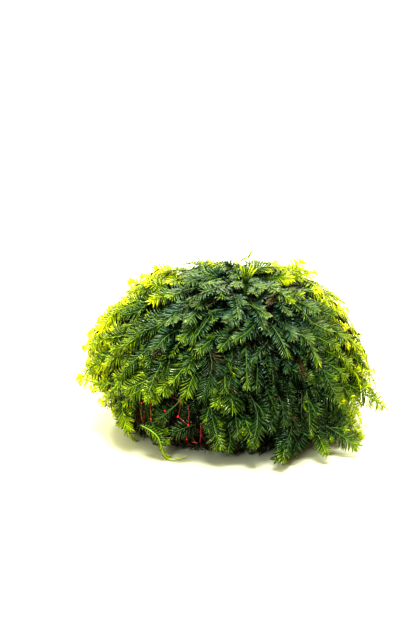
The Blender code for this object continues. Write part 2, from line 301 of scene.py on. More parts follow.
def template_from(bm):
    """A small closed shape as arrays, to be copied many times."""
    bmesh.ops.recalc_face_normals(bm, faces=bm.faces)
    bm.verts.index_update()
    places = np.array([vert.co for vert in bm.verts])
    corners = np.array([vert.index for face in bm.faces for vert in face.verts])
    starts = np.cumsum([0] + [len(face.verts) for face in bm.faces])[:-1]
    bm.free()
    return Template(places, corners, starts)


def prism(sides, radius, cuts):
    """A closed prism, 1 long on Z, with cuts across it."""
    bm = bmesh.new()
    bmesh.ops.create_cone(bm, cap_ends=True, segments=sides, radius1=radius, radius2=radius, depth=1.0)
    lengthwise = [edge for edge in bm.edges if abs(edge.verts[0].co.z - edge.verts[1].co.z) > 0.5]
    bmesh.ops.subdivide_edges(bm, edges=lengthwise, cuts=cuts, use_grid_fill=True)
    return bm


def blade_template(sides, cuts):
    """A closed blade, 1 long on X and 1 wide on Y, that comes to a point. With three sides it has a keel."""
    bm = prism(sides, 0.5, cuts)
    flank = max(abs(vert.co.y) for vert in bm.verts)
    for vert in bm.verts:
        share = math.sqrt(vert.co.z + 0.5)
        wide = leaflet_fullness(share)
        vert.co = (share, vert.co.y * wide * 0.5 / flank, vert.co.x * wide ** KEEL_POWER)
    bmesh.ops.remove_doubles(bm, verts=bm.verts, dist=1e-3)
    return template_from(bm)


def leaflet_fullness(share):
    """Width along a leaflet: narrower at its foot, full beyond the middle, with a short blunt point."""
    widening = LEAF_FOOT + (1 - LEAF_FOOT) * min(share / LEAF_FULL_FROM, 1.0)
    return widening * math.sqrt(max(1.0 - share ** LEAF_END_POWER, 0.0))


def tube_template(sides, rings):
    """A closed tube, 1 long on X and 1 in radius, capped at both ends."""
    bm = prism(sides, 1.0, rings - 2)
    for vert in bm.verts:
        vert.co = (vert.co.z + 0.5, vert.co.x, vert.co.y)
    return template_from(bm)


def joined_mesh(name, parts):
    """One mesh from many copies. A part is a template, its copies' places, their map places and a slot."""
    places, maps, corners, starts, slots = [], [], [], [], []
    vertices = loops = 0
    for template, copies, mapped, slot in parts:
        count, size = copies.shape[:2]
        number = np.arange(count)[:, None]
        corners.append((template.corners + vertices + number * size).ravel())
        starts.append((template.starts + loops + number * len(template.corners)).ravel())
        slots.append(np.full(count * len(template.starts), slot))
        places.append(copies.reshape(-1, 3))
        maps.append(mapped.reshape(-1, 2))
        vertices += count * size
        loops += count * len(template.corners)
    corners = np.concatenate(corners).astype(np.int32)
    starts = np.concatenate(starts).astype(np.int32)
    mesh = bpy.data.meshes.new(name)
    mesh.vertices.add(vertices)
    mesh.vertices.foreach_set("co", np.concatenate(places).astype(np.float32).ravel())
    mesh.loops.add(loops)
    mesh.loops.foreach_set("vertex_index", corners)
    mesh.polygons.add(len(starts))
    mesh.polygons.foreach_set("loop_start", starts)
    mesh.polygons.foreach_set("material_index", np.concatenate(slots).astype(np.int32))
    mesh.update(calc_edges=True)
    layer = mesh.uv_layers.new(name=BAKE_MAP)
    layer.uv.foreach_set("vector", np.concatenate(maps)[corners].astype(np.float32).ravel())
    mesh.shade_smooth()
    mesh.validate()
    return mesh


def add_piece(name, mesh, materials, slot, *nodes):
    piece = bpy.data.objects.new(name, mesh)
    bpy.context.scene.collection.objects.link(piece)
    for material in materials:
        mesh.materials.append(material)
    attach(piece, "root")
    if nodes:
        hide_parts(*nodes)


# ---- Shoots ----


def mesh_places(obj):
    places = np.empty(len(obj.data.vertices) * 3, np.float32)
    obj.data.vertices.foreach_get("co", places)
    return np.unique(np.round(places.reshape(-1, 3).astype(float), 7), axis=0)


def swayed(points, ups, chance, amount, banking):
    """A line with a slow sideways bend, and its upper sides banked to one side."""
    side = unit(np.cross(directions(points), ups))
    sway = amount * chance.normal(0.0, SWAY_SPREAD) * np.sin(math.pi * SHARES * chance.uniform(*SWAY_WAVES))
    bank = chance.normal(0.0, banking) + chance.normal(0.0, min(banking, BANK_CHANGE)) * (SHARES - 0.5)
    points = points + side * sway[:, None]
    return points, unit(ups * np.cos(bank)[:, None] + side * np.sin(bank)[:, None])


def shoot_of_node(node, tone, bloom, chance):
    """The line, width and upper side of one of the frame's shoots."""
    places = mesh_places(node)
    middle = places.mean(0)
    _, _, axes = np.linalg.svd(places - middle)
    along, side = axes[0], axes[1]
    if way_down(middle + along * MM) < way_down(middle - along * MM):
        along = -along
    share = (places - middle) @ along
    share = (share - share.min()) / np.ptp(share)
    curve = np.polyfit(share, places, 3)
    points = np.stack([np.polyval(curve[:, axis], SHARES) for axis in range(3)], axis=-1)
    ups = unit(np.cross(side, np.gradient(points, axis=0)))
    if ups.mean(0) @ (middle - UP * WAIST) < 0:
        ups = -ups
    half_width = np.abs((places - middle) @ side).max()
    points = points + ups * (ARCH * np.sin(math.pi * SHARES) - TIP_SAG * SHARES ** 3)[:, None]
    points, ups = swayed(points, ups, chance, LARGE_SWAY, LARGE_BANK)
    return Shoot(points, ups, half_width * FILLED_WIDTH, tone, bloom)


def shoot_on_dome(angle, way, lean, length, half_width, heights, tone, bloom, tuck, chance, bank=SMALL_BANK):
    """A shoot that starts at an angle and a way down the dome, and leans to one side of straight down."""
    base_height, tip_height, arch = heights
    # The dome is laid out flat round its crown, where the shoot is a straight line.
    out = way * math.cos(angle) + length * SHARES * math.cos(angle + lean)
    across = way * math.sin(angle) + length * SHARES * math.sin(angle + lean)
    ways = np.minimum(np.hypot(out, across), FOOT_WAY)
    turns = np.unwrap(np.arctan2(across, out))
    rises = base_height + (tip_height - base_height) * SHARES + arch * np.sin(math.pi * SHARES)
    points, normals = over_dome(turns, ways, rises, tuck)
    points = points - UP * (DROOP * SHARES ** DROOP_POWER)[:, None]
    points[:, 2] = np.maximum(points[:, 2], STEM_OFF_FLOOR)
    points, ups = swayed(points, square_to(normals, directions(points)), chance, SMALL_SWAY, bank)
    bare = MOST_BARE * float(np.mean(rises < BURIED))
    return Shoot(points, ups, half_width, tone, bloom, bare)


def shoot_between(foot, tip, lift, half_width, tone, bloom, chance):
    """A shoot between two places, bowed out of the dome by a lift, its flat side turned to the viewer."""
    outward = unit((foot + tip) / 2 - UP * WAIST)
    middle = (foot + tip) / 2 + outward * lift
    share = SHARES[:, None]
    points = foot * (1 - share) ** 2 + middle * 2 * share * (1 - share) + tip * share ** 2
    ups = square_to(FACING_OUT * outward - FACING_VIEWER * BACK + FACING_UP * UP, directions(points))
    points, ups = swayed(points, ups, chance, PLACED_SWAY, PLACED_BANK)
    return Shoot(points, ups, half_width, tone, bloom)


def along_shoot(shoot, shares):
    """Places, directions along, upper directions and sideways directions at shares of the way along."""
    columns = [shoot.points, directions(shoot.points), shoot.ups]
    at = np.linspace(0.0, 1.0, len(shoot.points))
    found = [np.stack([np.interp(shares, at, rows[:, k]) for k in range(3)], axis=-1) for rows in columns]
    places, along, up = found[0], unit(found[1]), unit(found[2])
    side = unit(np.cross(along, up))
    return places, along, np.cross(side, along), side


def branched(shoot, chance):
    """A broad shoot as a narrower one and side branches that fill its width. A narrow one stays as it is."""
    if shoot.half_width < BROAD:
        return [shoot]
    length = line_length(shoot.points)
    own_width = shoot.half_width * OWN_WIDTH
    shoots = [shoot._replace(half_width=own_width)]
    for foot, way in BRANCHES:
        turn = chance.normal(BRANCH_ANGLE, BRANCH_ANGLE_SPREAD)
        out = shoot.half_width * (1 - OWN_WIDTH * BRANCH_CLEAR) * chance.uniform(*BRANCH_OUT)
        span = min(out / math.tan(turn) / length, BRANCH_END - foot)
        places, _, ups, side = along_shoot(shoot, foot + span * SHARES)
        offset = way * out * (SHARES - BRANCH_BOW * SHARES ** 2) / (1 - BRANCH_BOW)
        sink = chance.uniform(*BRANCH_SINK) * MM * SHARES
        points = places + side * offset[:, None] - ups * sink[:, None]
        tone = shoot.tone + chance.normal(0.0, BRANCH_TONE_SPREAD)
        shoots.append(Shoot(points, ups, own_width * BRANCH_WIDTH, tone, shoot.bloom))
    return shoots


def leaflet_rows(pairs, sizes, chance):
    """Each leaflet's place along the leafy stretch, turn from the stem, lift and share of the full length."""
    pair = np.arange(pairs)
    upper = np.arange(0, pairs, UPPER_EVERY)
    fan = np.linspace(-1.0, 1.0, TIP_FAN)
    swing = np.interp((pair + 0.5) / pairs, *zip(*SWING_ALONG)) * sizes.leaflet_angle
    drop, full = np.full(pairs, -sizes.leaflet_drop), np.full(pairs, 1.0)
    first, second = PAIR_PLACES
    rows = (
        ((pair + first) / pairs, -swing, drop, full),
        ((pair + second) / pairs, swing, drop, full),
        (
            (upper + UPPER_PLACE) / pairs,
            sizes.leaflet_angle * chance.uniform(-UPPER_SWING, UPPER_SWING, len(upper)),
            chance.uniform(*UPPER_LIFT, len(upper)),
            np.full(len(upper), UPPER_REACH),
        ),
        (
            np.full(TIP_FAN, 1.0),
            fan * FAN_SWING * sizes.leaflet_angle,
            np.full(TIP_FAN, 0.0),
            1.0 - FAN_SHORTER * np.abs(fan),
        ),
    )
    return [np.concatenate(column) for column in zip(*rows)]


def on_map(tone, along):
    """Places on the map. Tones keep off its edges."""
    return np.stack([np.clip(tone, MAP_EDGE, 1.0 - MAP_EDGE), along], axis=-1)


def beside(places, way, across, other_way, other_across):
    """Places moved by arrays of distances in two directions."""
    return places + way * across[:, None] + other_way * other_across[:, None]


def leaflet_places(template, shoot, sizes, chance):
    """The copies of a leaflet along a shoot, and their places on the map."""
    leafy = sizes.leafy_share - shoot.bare
    pairs = max(FEWEST_PAIRS, round(line_length(shoot.points) * leafy / sizes.leaflet_spacing))
    nearness, swing, lift, reach = leaflet_rows(pairs, sizes, chance)
    count = len(nearness)
    places, along, up, side = along_shoot(shoot, shoot.bare + nearness * leafy)
    swing = swing * chance.normal(1.0, SWING_SPREAD, count)
    lift = lift + chance.normal(0.0, LIFT_SPREAD, count)
    spread = np.interp(nearness, *zip(*SPREAD_ALONG))
    long = shoot.half_width * spread * reach / np.sin(sizes.leaflet_angle)
    long = long * chance.uniform(*LENGTH_RANGE, count)
    narrowing = np.interp(nearness, (0, 1), FOOT_AND_TIP_WIDTH)
    wide = sizes.leaflet_width * chance.uniform(*WIDTH_RANGE, count) * narrowing
    lean = along * np.cos(swing)[:, None] + side * np.sin(swing)[:, None]
    lean = lean * np.cos(lift)[:, None] + up * np.sin(lift)[:, None]
    face = square_to(up, lean)
    edge = np.cross(face, lean)
    roll = np.sign(swing) * sizes.leaflet_roll + chance.normal(0.0, ROLL_SPREAD, count)
    turned_face = face * np.cos(roll)[:, None] + edge * np.sin(roll)[:, None]
    axes = np.stack([lean, np.cross(turned_face, lean), turned_face], axis=1)
    local = np.repeat(template.places[None], count, axis=0)
    share = local[:, :, 0].copy()
    bend = (sizes.leaflet_bend + chance.normal(0.0, BEND_SPREAD, count))[:, None]
    curl = (np.sign(swing) * sizes.leaflet_curl * chance.uniform(*CURL_RANGE, count))[:, None]
    local[:, :, 0] *= long[:, None]
    local[:, :, 1] = local[:, :, 1] * wide[:, None] - curl * long[:, None] * share ** 2
    local[:, :, 2] = local[:, :, 2] * sizes.leaflet_thickness - bend * long[:, None] * share ** 2
    copies = places[:, None] + np.einsum("mvk,mkj->mvj", local, axes)
    copies[:, :, 2] = np.maximum(copies[:, :, 2], FLOOR_GAP)
    tone = shoot.tone + shoot.bloom * (nearness - 0.5) + chance.normal(0.0, TONE_SPREAD, count)
    tone = np.maximum(tone, LIVE_TONE) if shoot.tone > DEAD_TONE else tone
    tone = np.where(chance.random(count) < sizes.withered_share, WITHERED_TONE, tone)
    across = tone[:, None] + template.places[None, :, 1] * MAP_SPREAD
    coolness = (places[:, 2] - COOL_FROM) / (COOL_TO - COOL_FROM)
    coolness = np.minimum(coolness, 1.0 - COOL_FADING * (np.abs(places[:, 0]) / DOME_RADIUS - COOL_ACROSS))
    chilled = coolness > chance.random(count)
    upper_half = (chilled & (tone > DEAD_TONE) & (tone < COOL_TONE))[:, None] * 0.5
    return copies, on_map(across, upper_half + 0.5 * np.clip(share, *LEAF_ENDS))


def tube_places(template, shoot, radius, tones, share_end=1.0, taper=1.0):
    """A tube along a share of a shoot's line, thinner by the taper at the line's end, and its map places."""
    shares = template.places[:, 0] * share_end
    places, _, up, side = along_shoot(shoot, shares)
    thick = radius * np.interp(shares, (0.0, 1.0), (1.0, taper))
    copy = beside(places, side, template.places[:, 1] * thick, up, template.places[:, 2] * thick)
    copy[:, 2] = np.maximum(copy[:, 2], FLOOR_GAP)
    tone = np.interp(template.places[:, 0], (0.0, 1.0), tones) + template.places[:, 1] * MAP_SPREAD
    return copy, on_map(tone, template.places[:, 0])


def as_part(pairs, slot):
    """The argument that joined_mesh takes, from a list of copies with their map places."""
    return np.stack([pair[0] for pair in pairs]), np.stack([pair[1] for pair in pairs]), slot


def shoots_mesh(name, shoots, leaflet, stem, sizes, chance):
    """One mesh of shoots: slot 0 the leaflets, slot 1 the stems."""
    shoots = [branch for shoot in shoots for branch in branched(shoot, chance)]
    leaves = [leaflet_places(leaflet, shoot, sizes, chance) for shoot in shoots]
    stems = [
        tube_places(stem, shoot, sizes.stem_radius, stem_tones(shoot), STEM_SHARE, STEM_TAPER)
        for shoot in shoots
    ]
    copies, maps = (np.concatenate(arrays) for arrays in zip(*leaves))
    return joined_mesh(name, [(leaflet, copies, maps, 0), (stem, *as_part(stems, 1))])


def stem_tones(shoot):
    """Tones of a stem's foot and tip. The stems of live shoots are no browner than a limit."""
    least = LIVE_STEM if shoot.tone > DEAD_TONE else 0.0
    ends = [shoot.tone + share * shoot.bloom for share in STEM_BLOOM]
    return tuple(max(least, min(tone, most)) for tone, most in zip(ends, LIGHTEST_STEM))


def smooth_line(points, steps):
    """A line through given points, rounded between them by cubic pieces."""
    points = np.array(points, float)
    ends = np.concatenate([[2 * points[0] - points[1]], points, [2 * points[-1] - points[-2]]])
    at = np.linspace(0.0, len(points) - 1.0, steps)
    first = np.minimum(at.astype(int), len(points) - 2)
    t = (at - first)[:, None]
    a, b, c, d = ends[first], ends[first + 1], ends[first + 2], ends[first + 3]
    bend, twist = 2 * a - 5 * b + 4 * c - d, 3 * b - a - 3 * c + d
    return 0.5 * (2 * b + (c - a) * t + bend * t ** 2 + twist * t ** 3)


def line_shoot(points, steps):
    """A line through given points, with its upper sides turned up or outwards and no leaflets."""
    line = smooth_line(points, steps)
    outward = unit(line - UP * WAIST) + LINE_UPWARDS * UP
    return Shoot(line, square_to(outward, directions(line)), 0.0, 0.0, 0.0)


# ---- Settings ----


def length_setting(name, description, default):
    return bpy.props.FloatProperty(
        name=name, description=description, default=default, min=0.0, unit="LENGTH"
    )


def angle_setting(name, description, degrees):
    return bpy.props.FloatProperty(
        name=name, description=description, default=math.radians(degrees), subtype="ANGLE"
    )


def share_setting(name, description, default):
    return bpy.props.FloatProperty(name=name, description=description, default=default, subtype="FACTOR")


def count_setting(name, description, default, least):
    return bpy.props.IntProperty(name=name, description=description, default=default, min=least)


def colour_setting(name, description, default):
    return bpy.props.FloatVectorProperty(
        name=name, description=description, default=default, size=3, min=0.0, max=1.0, subtype="COLOR"
    )


class LeafSizes(bpy.types.PropertyGroup):
    leaflet_width: length_setting("Leaflet width", "Widest part of a leaflet", 0.56 * MM)
    leaflet_thickness: length_setting("Leaflet thickness", "At the middle of a leaflet", 0.06 * MM)
    leaflet_spacing: length_setting("Leaflet spacing", "Along the stem, between pairs", 0.47 * MM)
    leaflet_angle: angle_setting("Leaflet angle", "Between stem and leaflet", 48)
    leaflet_drop: angle_setting("Leaflet drop", "Out of the shoot's plane", 9)
    leaflet_roll: angle_setting("Leaflet roll", "About the leaflet's own length", 8)
    leaflet_bend: share_setting("Leaflet bend", "Drop of the tip as a share of the length", 0.14)
    leaflet_curl: share_setting("Leaflet curl", "Forward curve of the tip as a share of the length", 0.15)
    stem_radius: length_setting("Stem radius", "At the foot of a shoot", 0.15 * MM)
    leafy_share: share_setting("Leafy share", "Share of a shoot that bears leaflets", 0.84)
    withered_share: share_setting("Withered share", "Share of leaflets that have turned brown", 0.012)


class LeafColours(bpy.types.PropertyGroup):
    dead: colour_setting("Dead", "Leaflets that have died off", (0.075, 0.034, 0.010))
    withered: colour_setting("Withered", "Leaflets that have turned olive brown", (0.07, 0.06, 0.014))
    # Painted shade: near black, for leaflets deep between the shoots and in the hollows.
    shade: colour_setting("Shade", "Old leaflets deep between the shoots", (0.012, 0.022, 0.005))
    dull: colour_setting("Dull green", "Old leaflets", (0.040, 0.098, 0.030))
    # The crown's cooler greens are partly painted bluish sheen; its cool shade is painted shade.
    cool_shade: colour_setting("Cool shade", "Oldest leaflets of the crown", (0.012, 0.028, 0.016))
    teal: colour_setting("Teal", "Old leaflets of the crown", (0.058, 0.126, 0.086))
    grey_lime: colour_setting("Grey lime", "Leaflets of the crown", (0.135, 0.205, 0.070))
    deep: colour_setting("Deep green", "Leaflets in the shade", (0.054, 0.094, 0.020))
    middle: colour_setting("Middle green", "Most leaflets", (0.120, 0.186, 0.015))
    fresh: colour_setting("Fresh green", "Young leaflets", (0.31, 0.375, 0.005))
    lime: colour_setting("Lime", "Tips of the shoots", (0.57, 0.62, 0.003))
    lemon: colour_setting("Lemon", "Tips in full light", (0.84, 0.80, 0.002))
    translucence: share_setting("Translucence", "Share of the light that passes through", 0.42)


class CushionSizes(bpy.types.PropertyGroup):
    lump_height: length_setting("Lump height", "Of the old growth's lumps", 0.9 * MM)
    lump_size: length_setting("Lump size", "Across one lump", 3.2 * MM)
    fibre_radius: length_setting("Fibre radius", "Of the old stems", 0.085 * MM)
    fibres: count_setting("Old stems", "Number of old stems", 900, 1)
    scraps: count_setting("Old leaflets", "Number of old leaflets", 2200, 1)
    # Near black: the mat's own dark colour, deepened as painted shade under the shoots.
    dark: colour_setting("Dark", "Between the old growth", (0.003, 0.0035, 0.0015))
    brown: colour_setting("Brown", "Old growth", (0.022, 0.015, 0.006))


class NetSizes(bpy.types.PropertyGroup):
    columns: count_setting("Columns", "Knots in one round", 60, 3)
    rows: count_setting("Rows", "Rounds of knots", 11, 2)
    row_gap: length_setting("Row gap", "Between rounds of knots, down the cushion", 3.9 * MM)
    thread_radius: length_setting("Thread radius", "Of the net's threads", 0.11 * MM)
    knot_radius: length_setting("Knot radius", "Of the net's knots", 0.24 * MM)
    off_cushion: length_setting("Clearance", "Between the cushion and the net's threads", 0.5 * MM)
    # Near black, for threads away from the window.
    dark_thread: colour_setting("Dirty", "Threads under dirt", (0.012, 0.007, 0.004))
    thread: colour_setting("Thread", "Clean threads", (0.25, 0.045, 0.04))
    knot: colour_setting("Knot", "The net's knots", (0.58, 0.016, 0.010))


class StageLight(bpy.types.PropertyGroup):
    ambient: share_setting("Ambient", "Light from all round", 0.22)
    ambient_colour: colour_setting("Ambient colour", "Colour of the light from all round", (1.0, 0.86, 0.34))
    # Yellowish, so that its shade takes an olive tint: painted light through the moss. Lit, it shows white.
    floor: colour_setting("Floor", "Colour of the floor", (0.49, 0.47, 0.35))


SETTINGS = {
    "moss_leaf_sizes": LeafSizes,
    "moss_leaf_colours": LeafColours,
    "moss_cushion": CushionSizes,
    "moss_net": NetSizes,
    "moss_stage": StageLight,
}


# ---- Materials ----


def new_material(name):
    material = bpy.data.materials.new(name)
    material.use_nodes = True
    tree = material.node_tree
    tree.nodes.clear()
    output = tree.nodes.new("ShaderNodeOutputMaterial")
    return material, tree, output


def ramped(tree, tone, stops):
    """The colour at a tone, from stops of tone and colour."""
    node = tree.nodes.new("ShaderNodeValToRGB")
    elements = node.color_ramp.elements
    while len(elements) < len(stops):
        elements.new(0.5)
    for element, (place, colour) in zip(elements, stops):
        element.position = place
        element.color = (*colour, 1.0)
    tree.links.new(tone, node.inputs["Fac"])
    return node.outputs["Color"]


def map_place(tree):
    """Tone on X and share along on Y, from the piece's own map. Leaflets use half of Y for each green."""
    place = tree.nodes.new("ShaderNodeUVMap")
    place.uv_map = BAKE_MAP
    split = tree.nodes.new("ShaderNodeSeparateXYZ")
    tree.links.new(place.outputs["UV"], split.inputs[0])
    return split.outputs["X"], split.outputs["Y"]


def mapped(tree, value, low, high, to_low, to_high):
    node = tree.nodes.new("ShaderNodeMapRange")
    for name, number in zip(("From Min", "From Max", "To Min", "To Max"), (low, high, to_low, to_high)):
        node.inputs[name].default_value = number
    tree.links.new(value, node.inputs["Value"])
    return node.outputs["Result"]


def reckoned(tree, operation, *values):
    """The result of a math node, from outputs of other nodes and numbers."""
    node = tree.nodes.new("ShaderNodeMath")
    node.operation = operation
    for socket, value in zip(node.inputs, values):
        if isinstance(value, float):
            socket.default_value = value
        else:
            tree.links.new(value, socket)
    return node.outputs[0]


def noise_at(tree, place, scale, detail):
    node = tree.nodes.new("ShaderNodeTexNoise")
    node.inputs["Scale"].default_value = scale
    node.inputs["Detail"].default_value = detail
    tree.links.new(place, node.inputs["Vector"])
    return node.outputs["Fac"]


def glossy_surface(tree, colour, roughness):
    surface = tree.nodes.new("ShaderNodeBsdfPrincipled")
    surface.inputs["Roughness"].default_value = roughness
    surface.inputs["IOR"].default_value = 1.42
    tree.links.new(colour, surface.inputs["Base Color"])
    return surface


def leaf_material(colours):
    """Wet leaflets, which let light through. Their tips are lighter, and those of the crown are cooler."""
    material, tree, output = new_material("leaflets")
    tone, up = map_place(tree)
    cool = reckoned(tree, "GREATER_THAN", up, 0.5)
    along = reckoned(tree, "FRACT", reckoned(tree, "ADD", up, up))
    tone = reckoned(tree, "ADD", tone, mapped(tree, along, 0.3, 1.0, 0.0, 0.07))
    stops = (
        (0.0, colours.dead),
        (0.10, colours.withered),
        (0.19, colours.shade),
        (0.30, colours.dull),
        (0.42, colours.deep),
        (0.57, colours.middle),
        (0.73, colours.fresh),
        (0.87, colours.lime),
        (1.0, colours.lemon),
    )
    # The cooler ramp of the crown is partly painted bluish sheen.
    cool_stops = (
        (0.0, colours.dead),
        (0.14, colours.withered),
        (0.20, colours.cool_shade),
        (0.35, colours.teal),
        (0.58, colours.grey_lime),
        (0.84, colours.fresh),
    )
    colour = tree.nodes.new("ShaderNodeMix")
    colour.data_type = "RGBA"
    tree.links.new(cool, colour.inputs["Factor"])
    tree.links.new(ramped(tree, tone, stops), colour.inputs["A"])
    tree.links.new(ramped(tree, tone, cool_stops), colour.inputs["B"])
    surface = glossy_surface(tree, colour.outputs["Result"], 0.22)
    surface.inputs["Specular IOR Level"].default_value = 0.3
    surface.inputs["Coat Weight"].default_value = 0.9
    surface.inputs["Coat Roughness"].default_value = 0.13
    through = tree.nodes.new("ShaderNodeBsdfTranslucent")
    tree.links.new(colour.outputs["Result"], through.inputs["Color"])
    mix = tree.nodes.new("ShaderNodeMixShader")
    mix.inputs["Fac"].default_value = colours.translucence
    tree.links.new(surface.outputs[0], mix.inputs[1])
    tree.links.new(through.outputs[0], mix.inputs[2])
    tree.links.new(mix.outputs[0], output.inputs["Surface"])
    return material


def toned_material(name, stops, roughness):
    """A material with the colours of its stops, by the tone that the map gives."""
    material, tree, output = new_material(name)
    tone, _ = map_place(tree)
    surface = glossy_surface(tree, ramped(tree, tone, stops), roughness)
    tree.links.new(surface.outputs[0], output.inputs["Surface"])
    return material


def stem_material():
    """Stems, from dead brown through olive to yellow green."""
    stops = (
        (0.0, (0.05, 0.024, 0.010)),
        (0.3, (0.03, 0.050, 0.010)),
        (0.55, (0.12, 0.20, 0.015)),
        (0.8, (0.38, 0.46, 0.03)),
        (1.0, (0.75, 0.72, 0.30)),
    )
    return toned_material("stems", stops, 0.4)


def net_material(settings):
    """Threads and knots of the net: their tone runs across the map."""
    stops = ((0.0, settings.dark_thread), (0.45, settings.thread), (0.6, settings.thread), (0.9, settings.knot))
    return toned_material("net_thread", stops, 0.35)


def old_growth_material(settings):
    """Matted old growth: dark, with brown mottling and a fine fibrous bump."""
    material, tree, output = new_material("old_growth")
    place = tree.nodes.new("ShaderNodeTexCoord").outputs["Object"]
    mottle = noise_at(tree, place, 420.0, 6.0)
    surface = glossy_surface(tree, ramped(tree, mottle, ((0.42, settings.dark), (0.75, settings.brown))), 0.6)
    bump = tree.nodes.new("ShaderNodeBump")
    bump.inputs["Strength"].default_value = 0.6
    bump.inputs["Distance"].default_value = 0.2 * MM
    tree.links.new(noise_at(tree, place, 2200.0, 4.0), bump.inputs["Height"])
    tree.links.new(bump.outputs["Normal"], surface.inputs["Normal"])
    tree.links.new(surface.outputs[0], output.inputs["Surface"])
    return material


def floor_material(settings):
    material, tree, output = new_material("floor_white")
    surface = tree.nodes.new("ShaderNodeBsdfPrincipled")
    surface.inputs["Base Color"].default_value = (*settings.floor, 1.0)
    surface.inputs["Roughness"].default_value = 0.35
    tree.links.new(surface.outputs[0], output.inputs["Surface"])
    return material


def plant_materials():
    """Slot 0 the leaflets' material, slot 1 the stems'."""
    leaf = bpy.data.materials.get("leaflets") or leaf_material(bpy.context.scene.moss_leaf_colours)
    return [leaf, bpy.data.materials.get("stems") or stem_material()]


# ---- Where the shoots grow, and how light they are ----

# Tone by slot of the frame's shoots. Tones run from 0, dead, to 1, lemon.
# The rim slot's high tone is partly painted backlight glow.
SLOT_TONES = {"deep_green": 0.34, "fresh_green": 0.50, "rim_yellow": 0.72}
# How much the slot counts, against the place, in the tone of the frame's shoots. Its spread, and their bloom.
SLOT_SHARE, LARGE_TONE_SPREAD, LARGE_BLOOM = 0.5, 0.05, 0.42
MIDDLE_TONE, RIM_GLOW_TONE, CROWN_LIGHT_TONE = 0.40, 0.42, 0.04
# Places from left to right, in dome radii, and how far the rim's painted backlight glow counts there. Then
# the height of the crown's band of painted light against the whole and how many bands up it begins, and the
# size and tone of a random patch.
RIM_STOPS = ((-1.05, 1.0), (-0.85, 0.64), (-0.5, 0.0), (0.5, 0.0), (0.8, 0.66), (1.02, 1.0))
CROWN_BAND, CROWN_START = 0.28, 2.57
PATCHY_SIZE, PATCHY_TONE = 7 * MM, 0.07

# Places that differ from the rest: angle in degrees, way down from the crown and reach in mm, tone
# added there, share of dead shoots, share of shoots left out and how much lower the rest stand.
Patch = namedtuple("Patch", "angle way reach tone dead bare sunk", defaults=(0.0,))
PATCHES = {
    "grey_crown": Patch(-85, 12, 13.0, -0.05, 0.0, 0.0),
    "crown_front": Patch(-90, 7, 9.0, 0.0, 0.0, 0.6),
    # Painted shade over the lower right.
    "shaded_lower_right": Patch(-62, 37, 16.0, -0.38, 0.0, 0.2),
    "brown_right": Patch(-56, 30, 4.5, -0.12, 0.3, 0.75),
    "brown_upper_right": Patch(-54, 15.5, 4.0, -0.05, 0.15, 0.6),
    # Dead shoots, in a hollow darkened by painted shade.
    "red_brown_middle": Patch(-96, 19.5, 3.0, -0.10, 0.1, 0.8),
    "brown_left": Patch(-124, 28, 4.5, -0.05, 0.45, 0.4),
    # The next four darken hollows with painted shade.
    "shaded_upper_left": Patch(-116, 17, 3.5, -0.15, 0.05, 0.85),
    "shaded_far_left": Patch(-134, 30, 3.5, -0.15, 0.05, 0.9),
    "hollow_middle": Patch(-101, 29.5, 3.5, -0.12, 0.0, 0.85),
    "hollow_low": Patch(-72, 33, 3.5, -0.15, 0.0, 0.85),
    "net_window": Patch(-116, 43, 12.0, -0.05, 0.1, 0.9),
    "bare_left_foot": Patch(-162, 42, 12.0, 0.0, 0.02, 0.95),
    "left_shoulder_gap": Patch(-176, 16.0, 9.0, -0.05, 0.0, 0.5, 1.0),
    "right_shoulder_gap": Patch(-2, 14.0, 7.0, 0.0, 0.0, 0.35, 1.0),
    "right_side": Patch(0, 24.0, 9.0, 0.0, 0.0, 0.3, 0.8),
    "shaded_left": Patch(-124, 17, 9.0, -0.10, 0.0, 0.0),
    "shaded_right": Patch(-55, 18, 10.0, -0.10, 0.0, 0.0),
    # The tone taken off here is painted shade.
    "lower_right_gap": Patch(-22, 41.0, 12.0, -0.10, 0.0, 0.95, 0.9),
    "brown_back": Patch(70, 22, 4.5, 0.0, 0.2, 0.5),
    "dark_back": Patch(112, 30, 4.0, -0.15, 0.1, 0.6),
    "brown_far_right": Patch(52, 27, 4.0, 0.0, 0.2, 0.5),
}

# A set of shoots: its seed, slot and number of pieces; then in mm the first and last way down, gaps down and
# round the dome, ranges of length, half width, base height and tip height, and arch; then its lean, tone,
# bloom, how far it follows the dome below the waist, the most that is left out at random, and the share left
# out where shoots are placed by pixels of the photograph.
Layer = namedtuple(
    "Layer",
    "name seed slot pieces ways gaps length half_width base tip arch lean tone bloom tuck open_share "
    "front_gap",
)
# Lower tones of deeper layers and the skirt are painted shade; the light tips' higher one is painted light.
UNDERGROWTH = (
    Layer(
        "low_growth", 7, "deep_green", 2, (1.0, 38.0), (3.2, 3.4), (6.0, 9.0), (1.4, 2.0),
        (-0.3, 0.5), (0.3, 1.6), 0.4, 1.2, -0.20, 0.20, 0.8, 0.0, 0.0,
    ),
    Layer(
        "middle_growth", 8, "fresh_green", 2, (0.5, 36.0), (3.1, 3.4), (6.5, 10.5), (1.4, 2.0),
        (-1.4, 0.4), (1.2, 3.0), 0.6, 0.7, -0.12, 0.36, 0.5, 0.6, 0.3,
    ),
)
OUTER = (
    Layer(
        "top_growth", 9, "fresh_green", 2, (0.5, 34.0), (3.6, 4.2), (6.5, 10.0), (1.5, 2.1),
        (-1.8, 0.4), (2.4, 4.4), 0.6, 0.68, -0.02, 0.42, 0.4, 0.8, 0.6,
    ),
    Layer(
        "light_tips", 10, "rim_yellow", 1, (1.5, 35.0), (5.0, 6.0), (5.5, 8.0), (1.2, 1.7),
        (-1.0, 0.8), (3.0, 5.4), 0.4, 0.8, 0.06, 0.40, 0.4, 0.8, 0.85,
    ),
)
